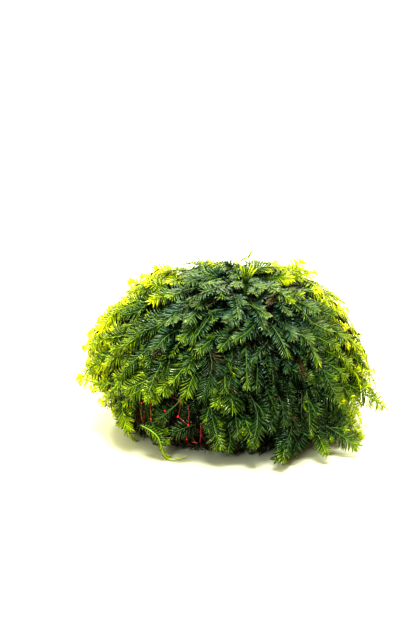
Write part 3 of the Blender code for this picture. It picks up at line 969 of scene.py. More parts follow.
SKIRT = (
    Layer(
        "skirt", 11, "deep_green", 1, (35.0, 42.0), (3.0, 3.2), (4.5, 7.0), (1.1, 1.6),
        (-0.3, 0.6), (0.4, 2.0), 0.4, 0.5, -0.12, 0.36, 0.9, 0.3, 0.0,
    ),
)


def slot_of(node):
    subparts = frame["record"]["subparts"]
    return next(part["material_slot"] for part in subparts if part["node"] == node)


def tone_at(place):
    """Tone by place: lighter by painted backlight at the left and right rims, deep in the middle, a little on
    the crown.
    """
    across = place[0] / DOME_RADIUS
    rim = np.interp(across, *zip(*RIM_STOPS))
    crown = np.clip(place[2] / (WAIST + DOME_RISE) / CROWN_BAND - CROWN_START, 0.0, 1.0)
    patchy = PATCHY_TONE * noise.noise(Vector(place) / PATCHY_SIZE)
    return MIDDLE_TONE + RIM_GLOW_TONE * rim + CROWN_LIGHT_TONE * crown * (1 - rim) + patchy


# Share of dead shoots everywhere, the range of their tone, and their bloom.
DEAD_SHARE, DEAD_TONES, DEAD_BLOOM = 0.006, (0.0, 0.12), 0.05

# Dark hollows between the large shoots, darkened by painted shade: a pixel of the photograph and a reach in
# mm.
HOLLOWS = (
    ((230, 356), 3.0), ((218, 350), 2.5), ((256, 362), 3.0), ((275, 356), 2.5), ((252, 402), 3.5),
    ((236, 402), 3.0), ((283, 415), 5.5), ((200, 318), 3.5), ((222, 322), 2.5), ((145, 354), 2.5),
    ((305, 378), 4.0), ((268, 304), 2.5),
)
HOLLOW_PLACES = [(at_front(*pixel, 0.0), reach * MM) for pixel, reach in HOLLOWS]
HOLLOW_SHADE_TONE, HOLLOW_BARE = -0.35, 0.75


def fading(away):
    """1 up to half the reach of a patch or hollow, falling to 0 at its reach."""
    return min(1.0, max(0.0, 2.0 - 2.0 * away))


def in_hollow(place):
    """How far a place is within one of the dark hollows, from 0 to 1."""
    return max(fading(np.linalg.norm(place - middle) / reach) for middle, reach in HOLLOW_PLACES)


def at_patches(angle, way):
    """Tone added, chance of being dead, chance of being left out and lowering at a place on the dome."""
    tone, dead, bare, sunk = 0.0, DEAD_SHARE, 0.0, 0.0
    radius = float(on_outline(np.array(way), 0.0)[0])
    for patch in PATCHES.values():
        turn = (angle - math.radians(patch.angle) + math.pi) % (2 * math.pi) - math.pi
        near = fading(math.hypot(way - patch.way * MM, turn * radius) / (patch.reach * MM))
        tone += patch.tone * near
        dead = max(dead, patch.dead * near)
        bare = max(bare, patch.bare * near)
        sunk = max(sunk, patch.sunk * near)
    return tone, dead, bare, sunk


# How far shoots stray from their ring, in gaps, and how near the crown they may start.
STRAY = 0.4
NEAREST_CROWN = 0.2 * MM
# Shoots nearer the crown than the first lie more and more every way: their lean and bank spread by up to the
# others on top.
LOOSE_WAY, LOOSE_LEAN, LOOSE_BANK = 16 * MM, 1.3, 0.8
# Ways down from the crown and how much of their height the tips have there.
FLAT_CROWN = ((4 * MM, 0.4), (14 * MM, 1.0))
# The growth swells and sinks: the size of a swell, a shift of the noise, and how far tips rise with it.
SWELL_SIZE, SWELL_SHIFT, SWELL_RISE = 6 * MM, Vector((3.7, 1.1, 8.3)), 2.0 * MM
# How fast shoots are left out as the growth sinks, and from how deep, and how fast the gap in front fades
# behind the middle.
OPEN_SLOPE, OPEN_FROM, FRONT_SLOPE = -2.2, 0.1, 2.5
LAYER_TONE_SPREAD = 0.07


def layer_of_shoots(layer, chance):
    shoots = []
    down, round_gap = layer.gaps
    rings = round((layer.ways[1] - layer.ways[0]) / down)
    for ring in range(rings + 1):
        way = np.interp(ring, (0, rings), layer.ways) * MM
        radius, _ = on_outline(np.array(way + 2 * MM), layer.tuck)
        count = max(2, round(2 * math.pi * float(radius) / MM / round_gap))
        for i in range(count):
            angle = (i + 0.5 * (ring % 2) + chance.uniform(-STRAY, STRAY)) / count * 2 * math.pi
            start = max(way + chance.uniform(-STRAY, STRAY) * down * MM, NEAREST_CROWN)
            length = chance.uniform(*layer.length) * MM
            flat = np.interp(start, *zip(*FLAT_CROWN))
            base, tip = chance.uniform(*layer.base) * MM, flat * chance.uniform(*layer.tip) * MM
            loose = max(0.0, 1.0 - start / LOOSE_WAY)
            lean = chance.normal(0.0, layer.lean + LOOSE_LEAN * loose)
            bank = SMALL_BANK + LOOSE_BANK * loose
            half_width = chance.uniform(*layer.half_width) * MM
            middle, _ = over_dome(np.array([angle]), np.array([start + length * 0.6]), np.array([0.0]))
            swell = noise.noise(Vector(middle[0]) / SWELL_SIZE + SWELL_SHIFT)
            base, tip = base + max(swell, 0.0) * MM, tip + swell * SWELL_RISE
            tone, dead, bare, sunk = at_patches(angle, start + length * 0.5)
            hollow = in_hollow(middle[0])
            # Painted shade in the dark hollows.
            tone += HOLLOW_SHADE_TONE * hollow
            bare = max(bare, HOLLOW_BARE * hollow)
            heights = (base - SINKING * sunk, tip * (1 - sunk), layer.arch * MM)
            bare = max(bare, min(layer.open_share, OPEN_SLOPE * (swell + OPEN_FROM)))
            bare = max(bare, layer.front_gap * min(1.0, max(0.0, 1.0 - FRONT_SLOPE * math.sin(angle))))
            tone = tone + tone_at(middle[0]) + layer.tone + chance.normal(0.0, LAYER_TONE_SPREAD)
            tone, bloom = max(tone, LIVE_TONE), layer.bloom
            left_out, died = chance.random(2)
            if died < dead:
                tone, bloom = chance.uniform(*DEAD_TONES), DEAD_BLOOM
            if left_out < bare:
                continue
            sizes = length, half_width, heights, tone, bloom
            shoots.append(shoot_on_dome(angle, start, lean, *sizes, layer.tuck, chance, bank))
    return shoots


def add_layers(layers, sizes):
    leaflet, stem = blade_template(sides=3, cuts=1), tube_template(sides=3, rings=4)
    for layer in layers:
        chance = np.random.default_rng(layer.seed)
        shoots = layer_of_shoots(layer, chance)
        for number in range(layer.pieces):
            name = layer.name if layer.pieces == 1 else f"{layer.name}_{number + 1}"
            mesh = shoots_mesh(name, shoots[number :: layer.pieces], leaflet, stem, sizes, chance)
            add_piece(name, mesh, plant_materials(), layer.slot)


# ---- Shoots placed by pixels of the photograph ----

# Foot and tip as pixels of the photograph, across and down; how far the tip stands off the dome, lift and
# half width in mm; tone and bloom. The foot stands off the dome by the root.
# The tones hold painted light and shade: a backlit glow at the rims, shade low at the right and between
# shoots.
FROND_ROOT = 1.0 * MM
LEFT_FRONDS = (
    (152, 300, 127, 286, 1.5, 2.0, 0.9, 0.87, 0.35), (160, 288, 127, 280, 2.5, 0.5, 1.7, 0.80, 0.35),
    (185, 292, 142, 283, 4.0, 1.0, 2.0, 0.63, 0.50), (182, 296, 149, 303, 4.6, 1.0, 1.9, 0.63, 0.50),
    (142, 304, 134, 296, 1.0, 0.3, 0.6, 0.06, 0.05), (146, 303, 105, 310, 2.0, 1.0, 1.7, 0.72, 0.55),
    (128, 313, 96, 322, 2.5, 1.0, 1.7, 0.78, 0.55), (132, 312, 100, 336, 3.0, 2.0, 2.0, 0.70, 0.65),
    (114, 338, 82, 351, 2.5, 2.5, 1.7, 0.80, 0.55), (124, 338, 90, 344, 2.5, 0.5, 1.8, 0.80, 0.45),
    (168, 310, 118, 328, 4.0, 0.5, 2.6, 0.43, 0.28), (180, 320, 122, 346, 4.5, 0.8, 2.8, 0.45, 0.28),
    (152, 338, 108, 352, 4.0, 0.5, 2.4, 0.53, 0.28), (124, 346, 85, 359, 2.5, 1.0, 2.0, 0.72, 0.60),
    (122, 360, 90, 367, 3.0, 0.5, 2.2, 0.80, 0.45), (116, 384, 73, 378, 3.0, 1.0, 2.4, 0.84, 0.45),
    (124, 378, 86, 390, 3.0, 0.5, 2.6, 0.76, 0.55), (130, 392, 99, 402, 2.5, 0.5, 2.2, 0.72, 0.60),
    (138, 398, 111, 412, 2.5, 0.3, 2.2, 0.61, 0.28), (133, 402, 120, 427, 2.5, 0.5, 1.8, 0.55, 0.32),
    (164, 370, 122, 394, 4.5, 0.8, 3.0, 0.53, 0.24), (152, 366, 112, 380, 4.0, 0.5, 2.6, 0.59, 0.24),
    (168, 380, 146, 400, 4.0, 0.6, 2.4, 0.53, 0.28), (160, 301, 120, 316, 4.0, 0.6, 2.2, 0.35, 0.28),
    (176, 312, 134, 340, 4.5, 0.8, 2.3, 0.35, 0.24), (150, 326, 104, 342, 4.0, 0.8, 2.2, 0.51, 0.28),
    (186, 328, 150, 350, 4.5, 0.8, 2.2, 0.39, 0.24), (140, 344, 104, 364, 3.5, 0.6, 2.0, 0.57, 0.28),
    (186, 370, 160, 393, 4.5, 0.6, 2.2, 0.48, 0.28), (146, 386, 124, 404, 3.5, 0.4, 2.0, 0.53, 0.28),
    (116, 324, 88, 336, 2.5, 1.0, 1.7, 0.78, 0.50),
)
CROWN_FRONDS = (
    (172, 286, 138, 277, 3.2, 1.0, 1.9, 0.77, 0.50), (164, 294, 134, 291, 3.2, 1.0, 1.8, 0.75, 0.50),
    (178, 278, 155, 268, 2.2, 0.6, 1.8, 0.82, 0.45), (182, 288, 164, 264, 3.0, 0.5, 2.2, 0.79, 0.55),
    (214, 276, 172, 268, 1.0, 0.5, 0.9, 0.47, 0.22), (221, 278, 213, 260, 1.5, 0.3, 1.7, 0.67, 0.41),
    (206, 276, 197, 262, 1.0, 0.3, 1.1, 0.56, 0.30), (238, 286, 232, 264, 1.5, 0.3, 1.9, 0.47, 0.22),
    (276, 280, 257, 269, 1.2, 1.0, 1.0, 0.53, 0.22), (279, 280, 275, 260, 2.2, 0.2, 1.4, 0.84, 0.35),
    (278, 283, 304, 260, 2.6, 0.8, 2.1, 0.81, 0.55), (284, 284, 319, 274, 2.6, 1.2, 1.7, 0.77, 0.45),
    (300, 280, 322, 294, 3.0, 1.0, 1.7, 0.78, 0.50), (262, 294, 306, 298, 3.7, 1.2, 1.7, 0.51, 0.22),
    (212, 282, 184, 284, 3.7, 0.9, 2.3, 0.42, 0.22), (232, 300, 204, 291, 3.7, 1.0, 2.2, 0.42, 0.22),
    (228, 290, 243, 306, 3.7, 0.9, 2.2, 0.39, 0.22), (250, 298, 268, 320, 4.2, 0.9, 2.3, 0.42, 0.34),
    (186, 302, 168, 326, 5.2, 1.0, 2.0, 0.43, 0.26), (204, 304, 188, 324, 5.2, 1.0, 2.0, 0.44, 0.22),
    (246, 306, 226, 324, 5.2, 1.0, 2.2, 0.37, 0.22), (214, 296, 196, 308, 4.2, 1.0, 2.0, 0.44, 0.22),
    (258, 284, 278, 292, 3.7, 1.0, 1.8, 0.45, 0.30), (286, 296, 318, 314, 4.7, 1.0, 2.0, 0.39, 0.30),
    (192, 288, 166, 298, 4.4, 1.0, 1.9, 0.47, 0.40), (266, 280, 292, 281, 2.7, 1.0, 1.8, 0.68, 0.30),
    (228, 278, 204, 284, 4.2, 1.0, 2.1, 0.47, 0.26), (240, 283, 264, 291, 4.2, 1.0, 2.1, 0.45, 0.26),
    (254, 276, 232, 289, 4.2, 1.0, 2.2, 0.46, 0.26), (222, 272, 238, 279, 3.2, 0.9, 1.9, 0.46, 0.22),
    (208, 274, 186, 277, 3.2, 0.9, 1.9, 0.47, 0.26), (232, 284, 222, 300, 4.7, 1.0, 2.2, 0.43, 0.26),
    (262, 278, 252, 296, 4.7, 1.0, 2.0, 0.42, 0.22), (226, 296, 205, 309, 5.4, 0.8, 0.35, 0.10, 0.06),
    (302, 287, 262, 299, 5.6, 0.9, 0.35, 0.09, 0.06), (318, 296, 288, 290, 5.6, 0.9, 0.4, 0.11, 0.06),
    (282, 298, 266, 306, 4.4, 0.4, 0.9, 0.05, 0.04), (190, 278, 168, 284, 3.2, 0.9, 1.9, 0.69, 0.30),
)
RIGHT_FRONDS = (
    (308, 310, 343, 298, 2.5, 0.8, 1.9, 0.86, 0.55), (316, 316, 352, 309, 2.5, 0.8, 1.9, 0.84, 0.50),
    (312, 322, 351, 327, 2.5, 0.5, 2.0, 0.78, 0.55), (326, 334, 355, 336, 2.0, 0.3, 1.0, 0.61, 0.32),
    (330, 338, 365, 347, 2.5, 0.8, 1.9, 0.76, 0.60), (336, 358, 369, 358, 2.5, 0.5, 1.8, 0.74, 0.55),
    (346, 374, 377, 371, 2.5, 1.0, 1.5, 0.86, 0.45), (340, 372, 369, 382, 2.5, 0.5, 1.8, 0.76, 0.55),
    (340, 380, 386, 411, 4.0, 3.0, 3.0, 0.58, 0.40), (326, 384, 367, 406, 3.5, 1.0, 2.3, 0.61, 0.40),
    (330, 396, 361, 415, 3.0, 0.8, 2.2, 0.61, 0.40), (320, 404, 354, 427, 3.0, 0.8, 2.5, 0.46, 0.40),
    (318, 421, 359, 448, 5.0, 1.6, 3.0, 0.36, 0.60), (312, 426, 326, 455, 3.5, 0.6, 1.7, 0.45, 0.40),
    (340, 430, 362, 436, 3.5, 0.5, 1.2, 0.50, 0.40), (301, 424, 310, 438, 3.5, 0.3, 1.1, 0.55, 0.24),
    (292, 312, 334, 336, 4.0, 0.8, 2.3, 0.39, 0.32), (296, 330, 342, 350, 4.0, 0.8, 2.4, 0.43, 0.32),
    (304, 370, 344, 394, 4.0, 0.8, 2.4, 0.35, 0.32), (296, 300, 336, 318, 4.0, 0.8, 2.0, 0.39, 0.32),
    (304, 320, 348, 341, 4.0, 0.8, 2.2, 0.43, 0.32), (310, 344, 354, 366, 4.0, 0.8, 2.2, 0.49, 0.32),
    (306, 354, 350, 380, 4.5, 0.8, 2.2, 0.45, 0.32), (312, 388, 348, 410, 4.0, 0.8, 2.2, 0.39, 0.36),
    (288, 392, 286, 440, 4.0, 0.8, 2.4, 0.16, 0.20), (302, 392, 304, 446, 4.0, 0.8, 2.4, 0.16, 0.20),
    (310, 402, 322, 440, 4.0, 0.8, 2.3, 0.18, 0.24), (286, 424, 279, 463, 4.5, 0.6, 2.0, 0.32, 0.56),
    (296, 418, 294, 456, 3.5, 0.8, 2.0, 0.19, 0.24),
)
FRONT_FRONDS = (
    (196, 350, 171, 386, 4.5, 0.8, 2.8, 0.47, 0.28), (246, 342, 248, 394, 4.5, 1.0, 2.4, 0.35, 0.32),
    (200, 320, 180, 343, 4.0, 0.6, 2.3, 0.47, 0.28), (244, 322, 218, 352, 4.0, 0.6, 2.3, 0.39, 0.28),
    (216, 338, 198, 352, 4.0, 0.5, 1.7, 0.45, 0.28), (216, 410, 216, 452, 3.5, 0.6, 2.2, 0.40, 0.32),
    (226, 424, 230, 453, 3.0, 0.5, 1.9, 0.35, 0.28), (242, 412, 256, 449, 5.0, 0.8, 2.3, 0.47, 0.50),
    (150, 416, 168, 446, 3.0, 0.6, 2.3, 0.41, 0.32), (196, 424, 172, 432, 3.0, 0.4, 1.9, 0.27, 0.24),
    (258, 392, 272, 434, 3.5, 0.8, 3.0, 0.29, 0.21), (286, 366, 312, 379, 3.5, 0.6, 1.6, 0.35, 0.35),
    (260, 318, 230, 342, 4.5, 0.8, 2.3, 0.39, 0.28), (284, 328, 312, 343, 4.0, 0.6, 2.0, 0.39, 0.28),
    (284, 312, 292, 342, 4.0, 0.6, 2.0, 0.31, 0.21), (204, 358, 188, 400, 4.8, 0.8, 2.2, 0.48, 0.28),
    (209, 358, 211, 396, 4.6, 0.8, 2.0, 0.39, 0.24), (228, 356, 223, 396, 4.5, 0.8, 2.4, 0.37, 0.24),
    (232, 380, 216, 409, 5.2, 0.8, 2.5, 0.47, 0.34), (228, 384, 232, 412, 5.0, 0.8, 2.2, 0.41, 0.28),
    (258, 352, 258, 392, 4.0, 0.8, 2.2, 0.25, 0.21), (176, 406, 156, 420, 2.5, 0.3, 1.6, 0.33, 0.21),
    (150, 405, 168, 420, 2.0, 0.3, 1.5, 0.31, 0.21), (212, 398, 206, 432, 3.0, 0.6, 2.0, 0.27, 0.21),
    (238, 400, 236, 440, 3.5, 0.6, 2.0, 0.34, 0.21), (196, 350, 186, 372, 4.0, 0.6, 2.0, 0.43, 0.21),
    (172, 340, 152, 357, 5.2, 0.6, 1.3, 0.10, 0.06), (298, 358, 305, 378, 4.0, 0.4, 1.1, 0.06, 0.05),
)
HAND_PLACED = (
    ("left_fronds", "rim_yellow", LEFT_FRONDS),
    ("crown_fronds", "fresh_green", CROWN_FRONDS),
    ("right_fronds", "rim_yellow", RIGHT_FRONDS),
    ("front_fronds", "fresh_green", FRONT_FRONDS),
)

# Old stems and leaflets on the cushion: how evenly they spread down it, how far down each kind comes, their
# ranges of base height, tip height, arch and length in mm, and the spread of their lean. Old leaflets have no
# arch.
Litter = namedtuple("Litter", "reach heights length lean")
LITTER_POWER = 0.7
OLD_STEMS = Litter(0.97, ((-0.3, 0.3), (0.2, 2.0), (0.0, 0.8)), (3.0, 8.0), 1.1)
OLD_LEAFLETS = Litter(0.98, ((-0.2, 0.2), (0.4, 1.8)), (1.4, 3.2), 1.2)
# Tones of the old stems with the chance of each, and how much lighter their tips are. Then tones of the old
# leaflets, their range of width against a young one's, and how far along the map they reach.
OLD_STEM_TONES, OLD_STEM_CHANCES, OLD_STEM_BLOOM = (0.02, 0.1, 0.25, 0.4), (0.4, 0.3, 0.2, 0.1), 0.05
OLD_LEAFLET_TONES, OLD_LEAFLET_WIDTH, OLD_LEAFLET_SHARE = (0.03, 0.13, 0.26, 0.36), (0.7, 1.1), 0.4

# How uneven the net is: the spread of its knots round the clump and down it, their range of rise in mm, the
# range in mm that threads bow out, and how much their tone spreads. Then how low its knots may lie, and how
# far up from the foot the lowest round is.
KNOT_TURN_SPREAD, KNOT_WAY_SPREAD, KNOT_RISE = 0.016, 0.4 * MM, (0.0, 0.5)
THREAD_BOW, THREAD_TONE_SPREAD = (0.1, 0.6), 0.06
LOWEST_KNOT, LOWEST_ROUND = 1.0 * MM, 1.0 * MM
# Range of a knot's size, and its shape. Tones of hidden knots, those in the window and the red ones placed by
# pixel, and the tone and size of the small dull ones.
KNOT_SIZE, KNOT_SHAPE = (0.75, 1.15), np.array([1.0, 0.8, 1.15])
HIDDEN_KNOT, WINDOW_KNOT, RED_KNOT = (0.0, 0.1), (0.4, 0.8), (0.85, 0.98)
DULL_TONE, DULL_SIZE = 0.5, 0.5
# The net shows red between these angles round the clump, in its lowest rounds, and near black elsewhere.
# Tones of its threads there and elsewhere.
WINDOW = (-142, -76)
CLEAN_ROWS = 3
CLEAN_TONES, DARK_THREAD_TONES = (0.1, 0.35), (0.0, 0.02)
# Threads that show between the shoots at the lower left, and loose knots, as pixels of the photograph.
SEEN_THREADS = (
    ((141.6, 402.8), (141.0, 411.0), (142.0, 420.0), (148.0, 433.7)),
    ((149.7, 401.4), (150.6, 410.0), (151.1, 419.1)),
    ((171.0, 396.5), (180.4, 401.0), (180.0, 409.0), (177.9, 416.6)),
    ((188.6, 405.0), (188.8, 415.0), (188.2, 425.1)),
    ((178.0, 416.6), (183.0, 420.5), (188.2, 425.1)),
    ((200.4, 423.0), (201.0, 433.0), (199.6, 443.0)),
    ((186.4, 430.0), (186.6, 439.5)),
    ((176.0, 433.0), (176.8, 440.0)),
    ((191.5, 442.0), (198.0, 443.0)),
)
SEEN_KNOTS = (
    (141.6, 402.8), (148.0, 433.7), (149.7, 401.4), (151.1, 419.1), (180.4, 401.0), (177.9, 416.6),
    (188.2, 425.1), (186.6, 439.5), (164.9, 410.8),
)
# Small dull knots along the foot and deep between the shoots.
DULL_KNOTS = (
    (200.8, 432.0), (176.8, 440.0), (236.0, 448.5), (242.0, 447.4), (251.5, 448.4), (264.0, 447.4),
    (133.0, 356.0), (140.5, 357.0), (173.0, 304.5), (183.0, 305.0), (184.0, 318.0), (215.0, 320.6),
)
# How far off the dome these threads and knots lie, how thin the threads are against others, and their tones.
SEEN_RISE, SEEN_THIN, SEEN_TONES = 2.0 * MM, 0.62, (0.5, 0.35)

# The bare stem and the runner, point by point in mm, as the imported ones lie.
BARE_STEM = (
    (-8.2, -28.8, 15.9), (-9.6, -28.6, 14.0), (-11.6, -27.4, 11.6), (-13.5, -26.0, 9.6), (-15.0, -25.2, 8.4),
)
RUNNER = (
    (-17.4, -23.4, 7.4),
    (-15.4, -24.9, 6.8),
    (-13.9, -25.4, 5.6),
    (-13.3, -25.2, 3.6),
    (-12.9, -24.4, 1.8),
    (-12.2, -24.0, 0.7),
    (-10.8, -24.2, 0.4),
    (-9.4, -23.4, 0.4),
    (-8.2, -22.4, 0.4),
)
BARE_STEM_RADIUS, BARE_STEM_TONES = 0.14 * MM, (0.38, 0.30)
RUNNER_RADIUS, RUNNER_TONES = 0.14 * MM, (0.56, 0.85)
RUNNER_LEAFY_SHARE = 0.72
RUNNER_HALF_WIDTH, RUNNER_TONE, RUNNER_BLOOM = 1.1 * MM, 0.60, 0.25
# Thickness of the tips of these two, of the hair and of the stalk, against the feet.
LOOSE_TAPER, HAIR_TAPER, STALK_TAPER = 0.8, 0.3, 0.6
# Pixels of the photograph and depths in mm.
PALE_HAIR = (((352, 411), -8), ((362, 415), -12), ((373, 417), -12), ((383, 419), -10))
HAIR_RADIUS, HAIR_TONES = 0.07 * MM, (0.9, 0.98)
# The stalk of the crown's sprig, as pixels of the photograph at a depth in mm.
STALK = ((235, 272), (238, 264), (241, 261), (246, 258.6), (249, 257.5), (252, 252))
STALK_DEPTH = -2.0
STALK_RADIUS, STALK_TONES = 0.09 * MM, (0.45, 0.7)
# Single blades on the crown: foot and tip pixels, width in mm, tone and bloom. The first ones grow on the
# stalk. The others stand where the foot's ray comes within the rise off the dome, each on a root that reaches
# into the growth.
BLADES = (
    ((240.5, 261.2), (247.0, 258.2), 0.55, 0.60, 0.1),
    ((248.0, 258.0), (253.5, 250.5), 0.60, 0.68, 0.2),
    ((237.0, 270.0), (236.8, 258.5), 0.70, 0.60, 0.4),
    ((244.0, 284.0), (239.5, 262.0), 0.70, 0.42, 0.5),
    ((244.6, 284.0), (244.0, 267.0), 0.65, 0.40, 0.5),
    ((245.2, 284.0), (248.0, 261.5), 0.75, 0.44, 0.5),
    ((245.6, 284.0), (251.6, 263.0), 0.65, 0.46, 0.5),
    ((246.0, 284.0), (254.0, 265.5), 0.70, 0.44, 0.5),
    ((246.4, 284.0), (257.0, 268.5), 0.65, 0.44, 0.5),
    ((246.0, 286.0), (242.0, 272.0), 0.70, 0.30, 0.3),
    ((247.0, 286.0), (251.0, 272.0), 0.70, 0.32, 0.3),
)
BLADES_ON_STALK = 2
BLADE_RISE = 4.0 * MM
BLADE_ROOT, ROOT_TONE = np.array((0.0, 1.0, -5.0)) * MM, 0.30
BLADE_THICKNESS, BLADE_ARCH = 0.15, 0.15 * MM


def frond_shoot(frond, chance):
    *pixels, rise, lift, half_width, tone, bloom = frond
    foot, tip = at_front(*pixels[:2], FROND_ROOT), at_front(*pixels[2:], rise * MM)
    return shoot_between(foot, tip, lift * MM, half_width * MM, tone, bloom, chance)


# ---- Operators ----


class MOSS_OT_stage(bpy.types.Operator):
    """Make the floor, the lights and the camera"""

    bl_idname = "moss.stage"
    bl_label = "Stage"

    def execute(self, context):
        scene = context.scene
        bm = bmesh.new()
        bmesh.ops.create_grid(bm, x_segments=1, y_segments=1, size=FLOOR_HALF_WIDTH)
        mesh = bpy.data.meshes.new("floor")
        bm.to_mesh(mesh)
        bm.free()
        floor = bpy.data.objects.new("floor", mesh)
        scene.collection.objects.link(floor)
        mesh.materials.append(floor_material(scene.moss_stage))

        world = bpy.data.worlds.new("studio")
        scene.world = world
        world.use_nodes = True
        tree = world.node_tree
        background = tree.nodes["Background"]
        background.inputs["Color"].default_value = (*scene.moss_stage.ambient_colour, 1.0)
        background.inputs["Strength"].default_value = scene.moss_stage.ambient
        seen = tree.nodes.new("ShaderNodeBackground")
        seen.inputs["Color"].default_value = (1.0, 1.0, 1.0, 1.0)
        path = tree.nodes.new("ShaderNodeLightPath")
        mix = tree.nodes.new("ShaderNodeMixShader")
        tree.links.new(path.outputs["Is Camera Ray"], mix.inputs["Fac"])
        tree.links.new(background.outputs[0], mix.inputs[1])
        tree.links.new(seen.outputs[0], mix.inputs[2])
        tree.links.new(mix.outputs[0], tree.nodes["World Output"].inputs["Surface"])

        for name, way, angle, strength, colour in LAMPS:
            lamp = bpy.data.lights.new(name, "SUN")
            lamp.angle = math.radians(angle)
            lamp.energy = strength
            lamp.color = colour
            light = bpy.data.objects.new(name, lamp)
            light.rotation_euler = (-Vector(way)).to_track_quat("-Z", "Y").to_euler()
            scene.collection.objects.link(light)

        data = bpy.data.cameras.new("camera")
        camera = bpy.data.objects.new("camera", data)
        scene.collection.objects.link(camera)
        back = CAMERA_DISTANCE * math.cos(CAMERA_ELEVATION)
        camera.location = (0.0, -back, CAMERA_AIM + CAMERA_DISTANCE * math.sin(CAMERA_ELEVATION))
        camera.rotation_euler = (math.pi / 2 - CAMERA_ELEVATION, 0.0, 0.0)
        data.sensor_width = 36.0
        data.lens = PIXELS_A_METRE * CAMERA_DISTANCE * data.sensor_width / IMAGE_HEIGHT
        data.shift_x = -(MIDDLE_ACROSS - IMAGE_WIDTH / 2) / IMAGE_HEIGHT
        data.shift_y = (MIDDLE_DOWN - IMAGE_HEIGHT / 2) / IMAGE_HEIGHT
        data.clip_start = 0.01
        scene.camera = camera
        scene.view_settings.view_transform = "Standard"
        scene.view_settings.look = "Very High Contrast"
        return {"FINISHED"}


def litter_lie(litter, chance):
    """Where and how a piece of litter lies on the cushion, in the order that shoot_on_dome takes it."""
    angle = chance.uniform(-math.pi, math.pi)
    way = FOOT_WAY * chance.uniform(0.0, 1.0) ** LITTER_POWER * litter.reach
    heights = [chance.uniform(*span) * MM for span in litter.heights]
    length, lean = chance.uniform(*litter.length) * MM, chance.normal(0.0, litter.lean)
    return angle, way, lean, length, 0.0, (*heights, 0.0)[:3]


class MOSS_OT_cushion(bpy.types.Operator):
    """Make the dense old growth in the middle, and the old stems and leaflets on it"""

    bl_idname = "moss.cushion"
    bl_label = "Cushion"

    def execute(self, context):
        settings = context.scene.moss_cushion
        bm = bmesh.new()
        bmesh.ops.create_icosphere(bm, subdivisions=6, radius=1.0)
        for vert in bm.verts:
            way = vert.co
            slope = math.acos(max(-1.0, min(1.0, way.z)))
            radius, height = dome_profile(slope)
            radius -= drawn_in(height) * min(1.0, radius / FOOT_TUCK / 2)
            level = math.hypot(way.x, way.y) or 1.0
            place = Vector((radius * way.x / level, radius * DEPTH_RATIO * way.y / level, float(height)))
            lump = noise.fractal(place / settings.lump_size, 1.0, 2.0, 3)
            place *= 1.0 + (lump - 0.7) * settings.lump_height / DOME_RADIUS
            place.z = max(place.z, 0.0)
            vert.co = place
        mesh = bpy.data.meshes.new("cushion_growth")
        bm.to_mesh(mesh)
        bm.free()
        mesh.shade_smooth()
        add_piece("cushion_growth", mesh, [old_growth_material(settings)], "old_growth", "cushion")

        chance = np.random.default_rng(CUSHION_SEED)
        stem = tube_template(sides=4, rings=5)
        fibres = []
        for _ in range(settings.fibres):
            lie = litter_lie(OLD_STEMS, chance)
            tone = chance.choice(OLD_STEM_TONES, p=OLD_STEM_CHANCES)
            fibre = shoot_on_dome(*lie, tone, 0.0, 1.0, chance)
            tones = tone, tone + OLD_STEM_BLOOM
            fibres.append(tube_places(stem, fibre, settings.fibre_radius, tones, taper=STEM_TAPER))
        scrap = blade_template(sides=3, cuts=1)
        sizes = context.scene.moss_leaf_sizes
        scraps = []
        for _ in range(settings.scraps):
            line = shoot_on_dome(*litter_lie(OLD_LEAFLETS, chance), 0.0, 0.0, 1.0, chance)
            places, _, up, side = along_shoot(line, scrap.places[:, 0])
            wide = sizes.leaflet_width * chance.uniform(*OLD_LEAFLET_WIDTH)
            thick = scrap.places[:, 2] * sizes.leaflet_thickness
            copy = beside(places, side, scrap.places[:, 1] * wide, up, thick)
            copy[:, 2] = np.maximum(copy[:, 2], FLOOR_GAP)
            tone = chance.choice(OLD_LEAFLET_TONES) + scrap.places[:, 1] * MAP_SPREAD
            scraps.append((copy, on_map(tone, np.clip(scrap.places[:, 0] * OLD_LEAFLET_SHARE, *LOWER_HALF))))
        mesh = joined_mesh("old_stems", [(scrap, *as_part(scraps, 0)), (stem, *as_part(fibres, 1))])
        add_piece("old_stems", mesh, plant_materials(), "old_growth")
        return {"FINISHED"}


def in_window(place):
    """Whether a place is on the stretch of the foot where the net shows clean between the shoots."""
    first, last = WINDOW
    return math.radians(first) < math.atan2(place[1], place[0]) < math.radians(last)


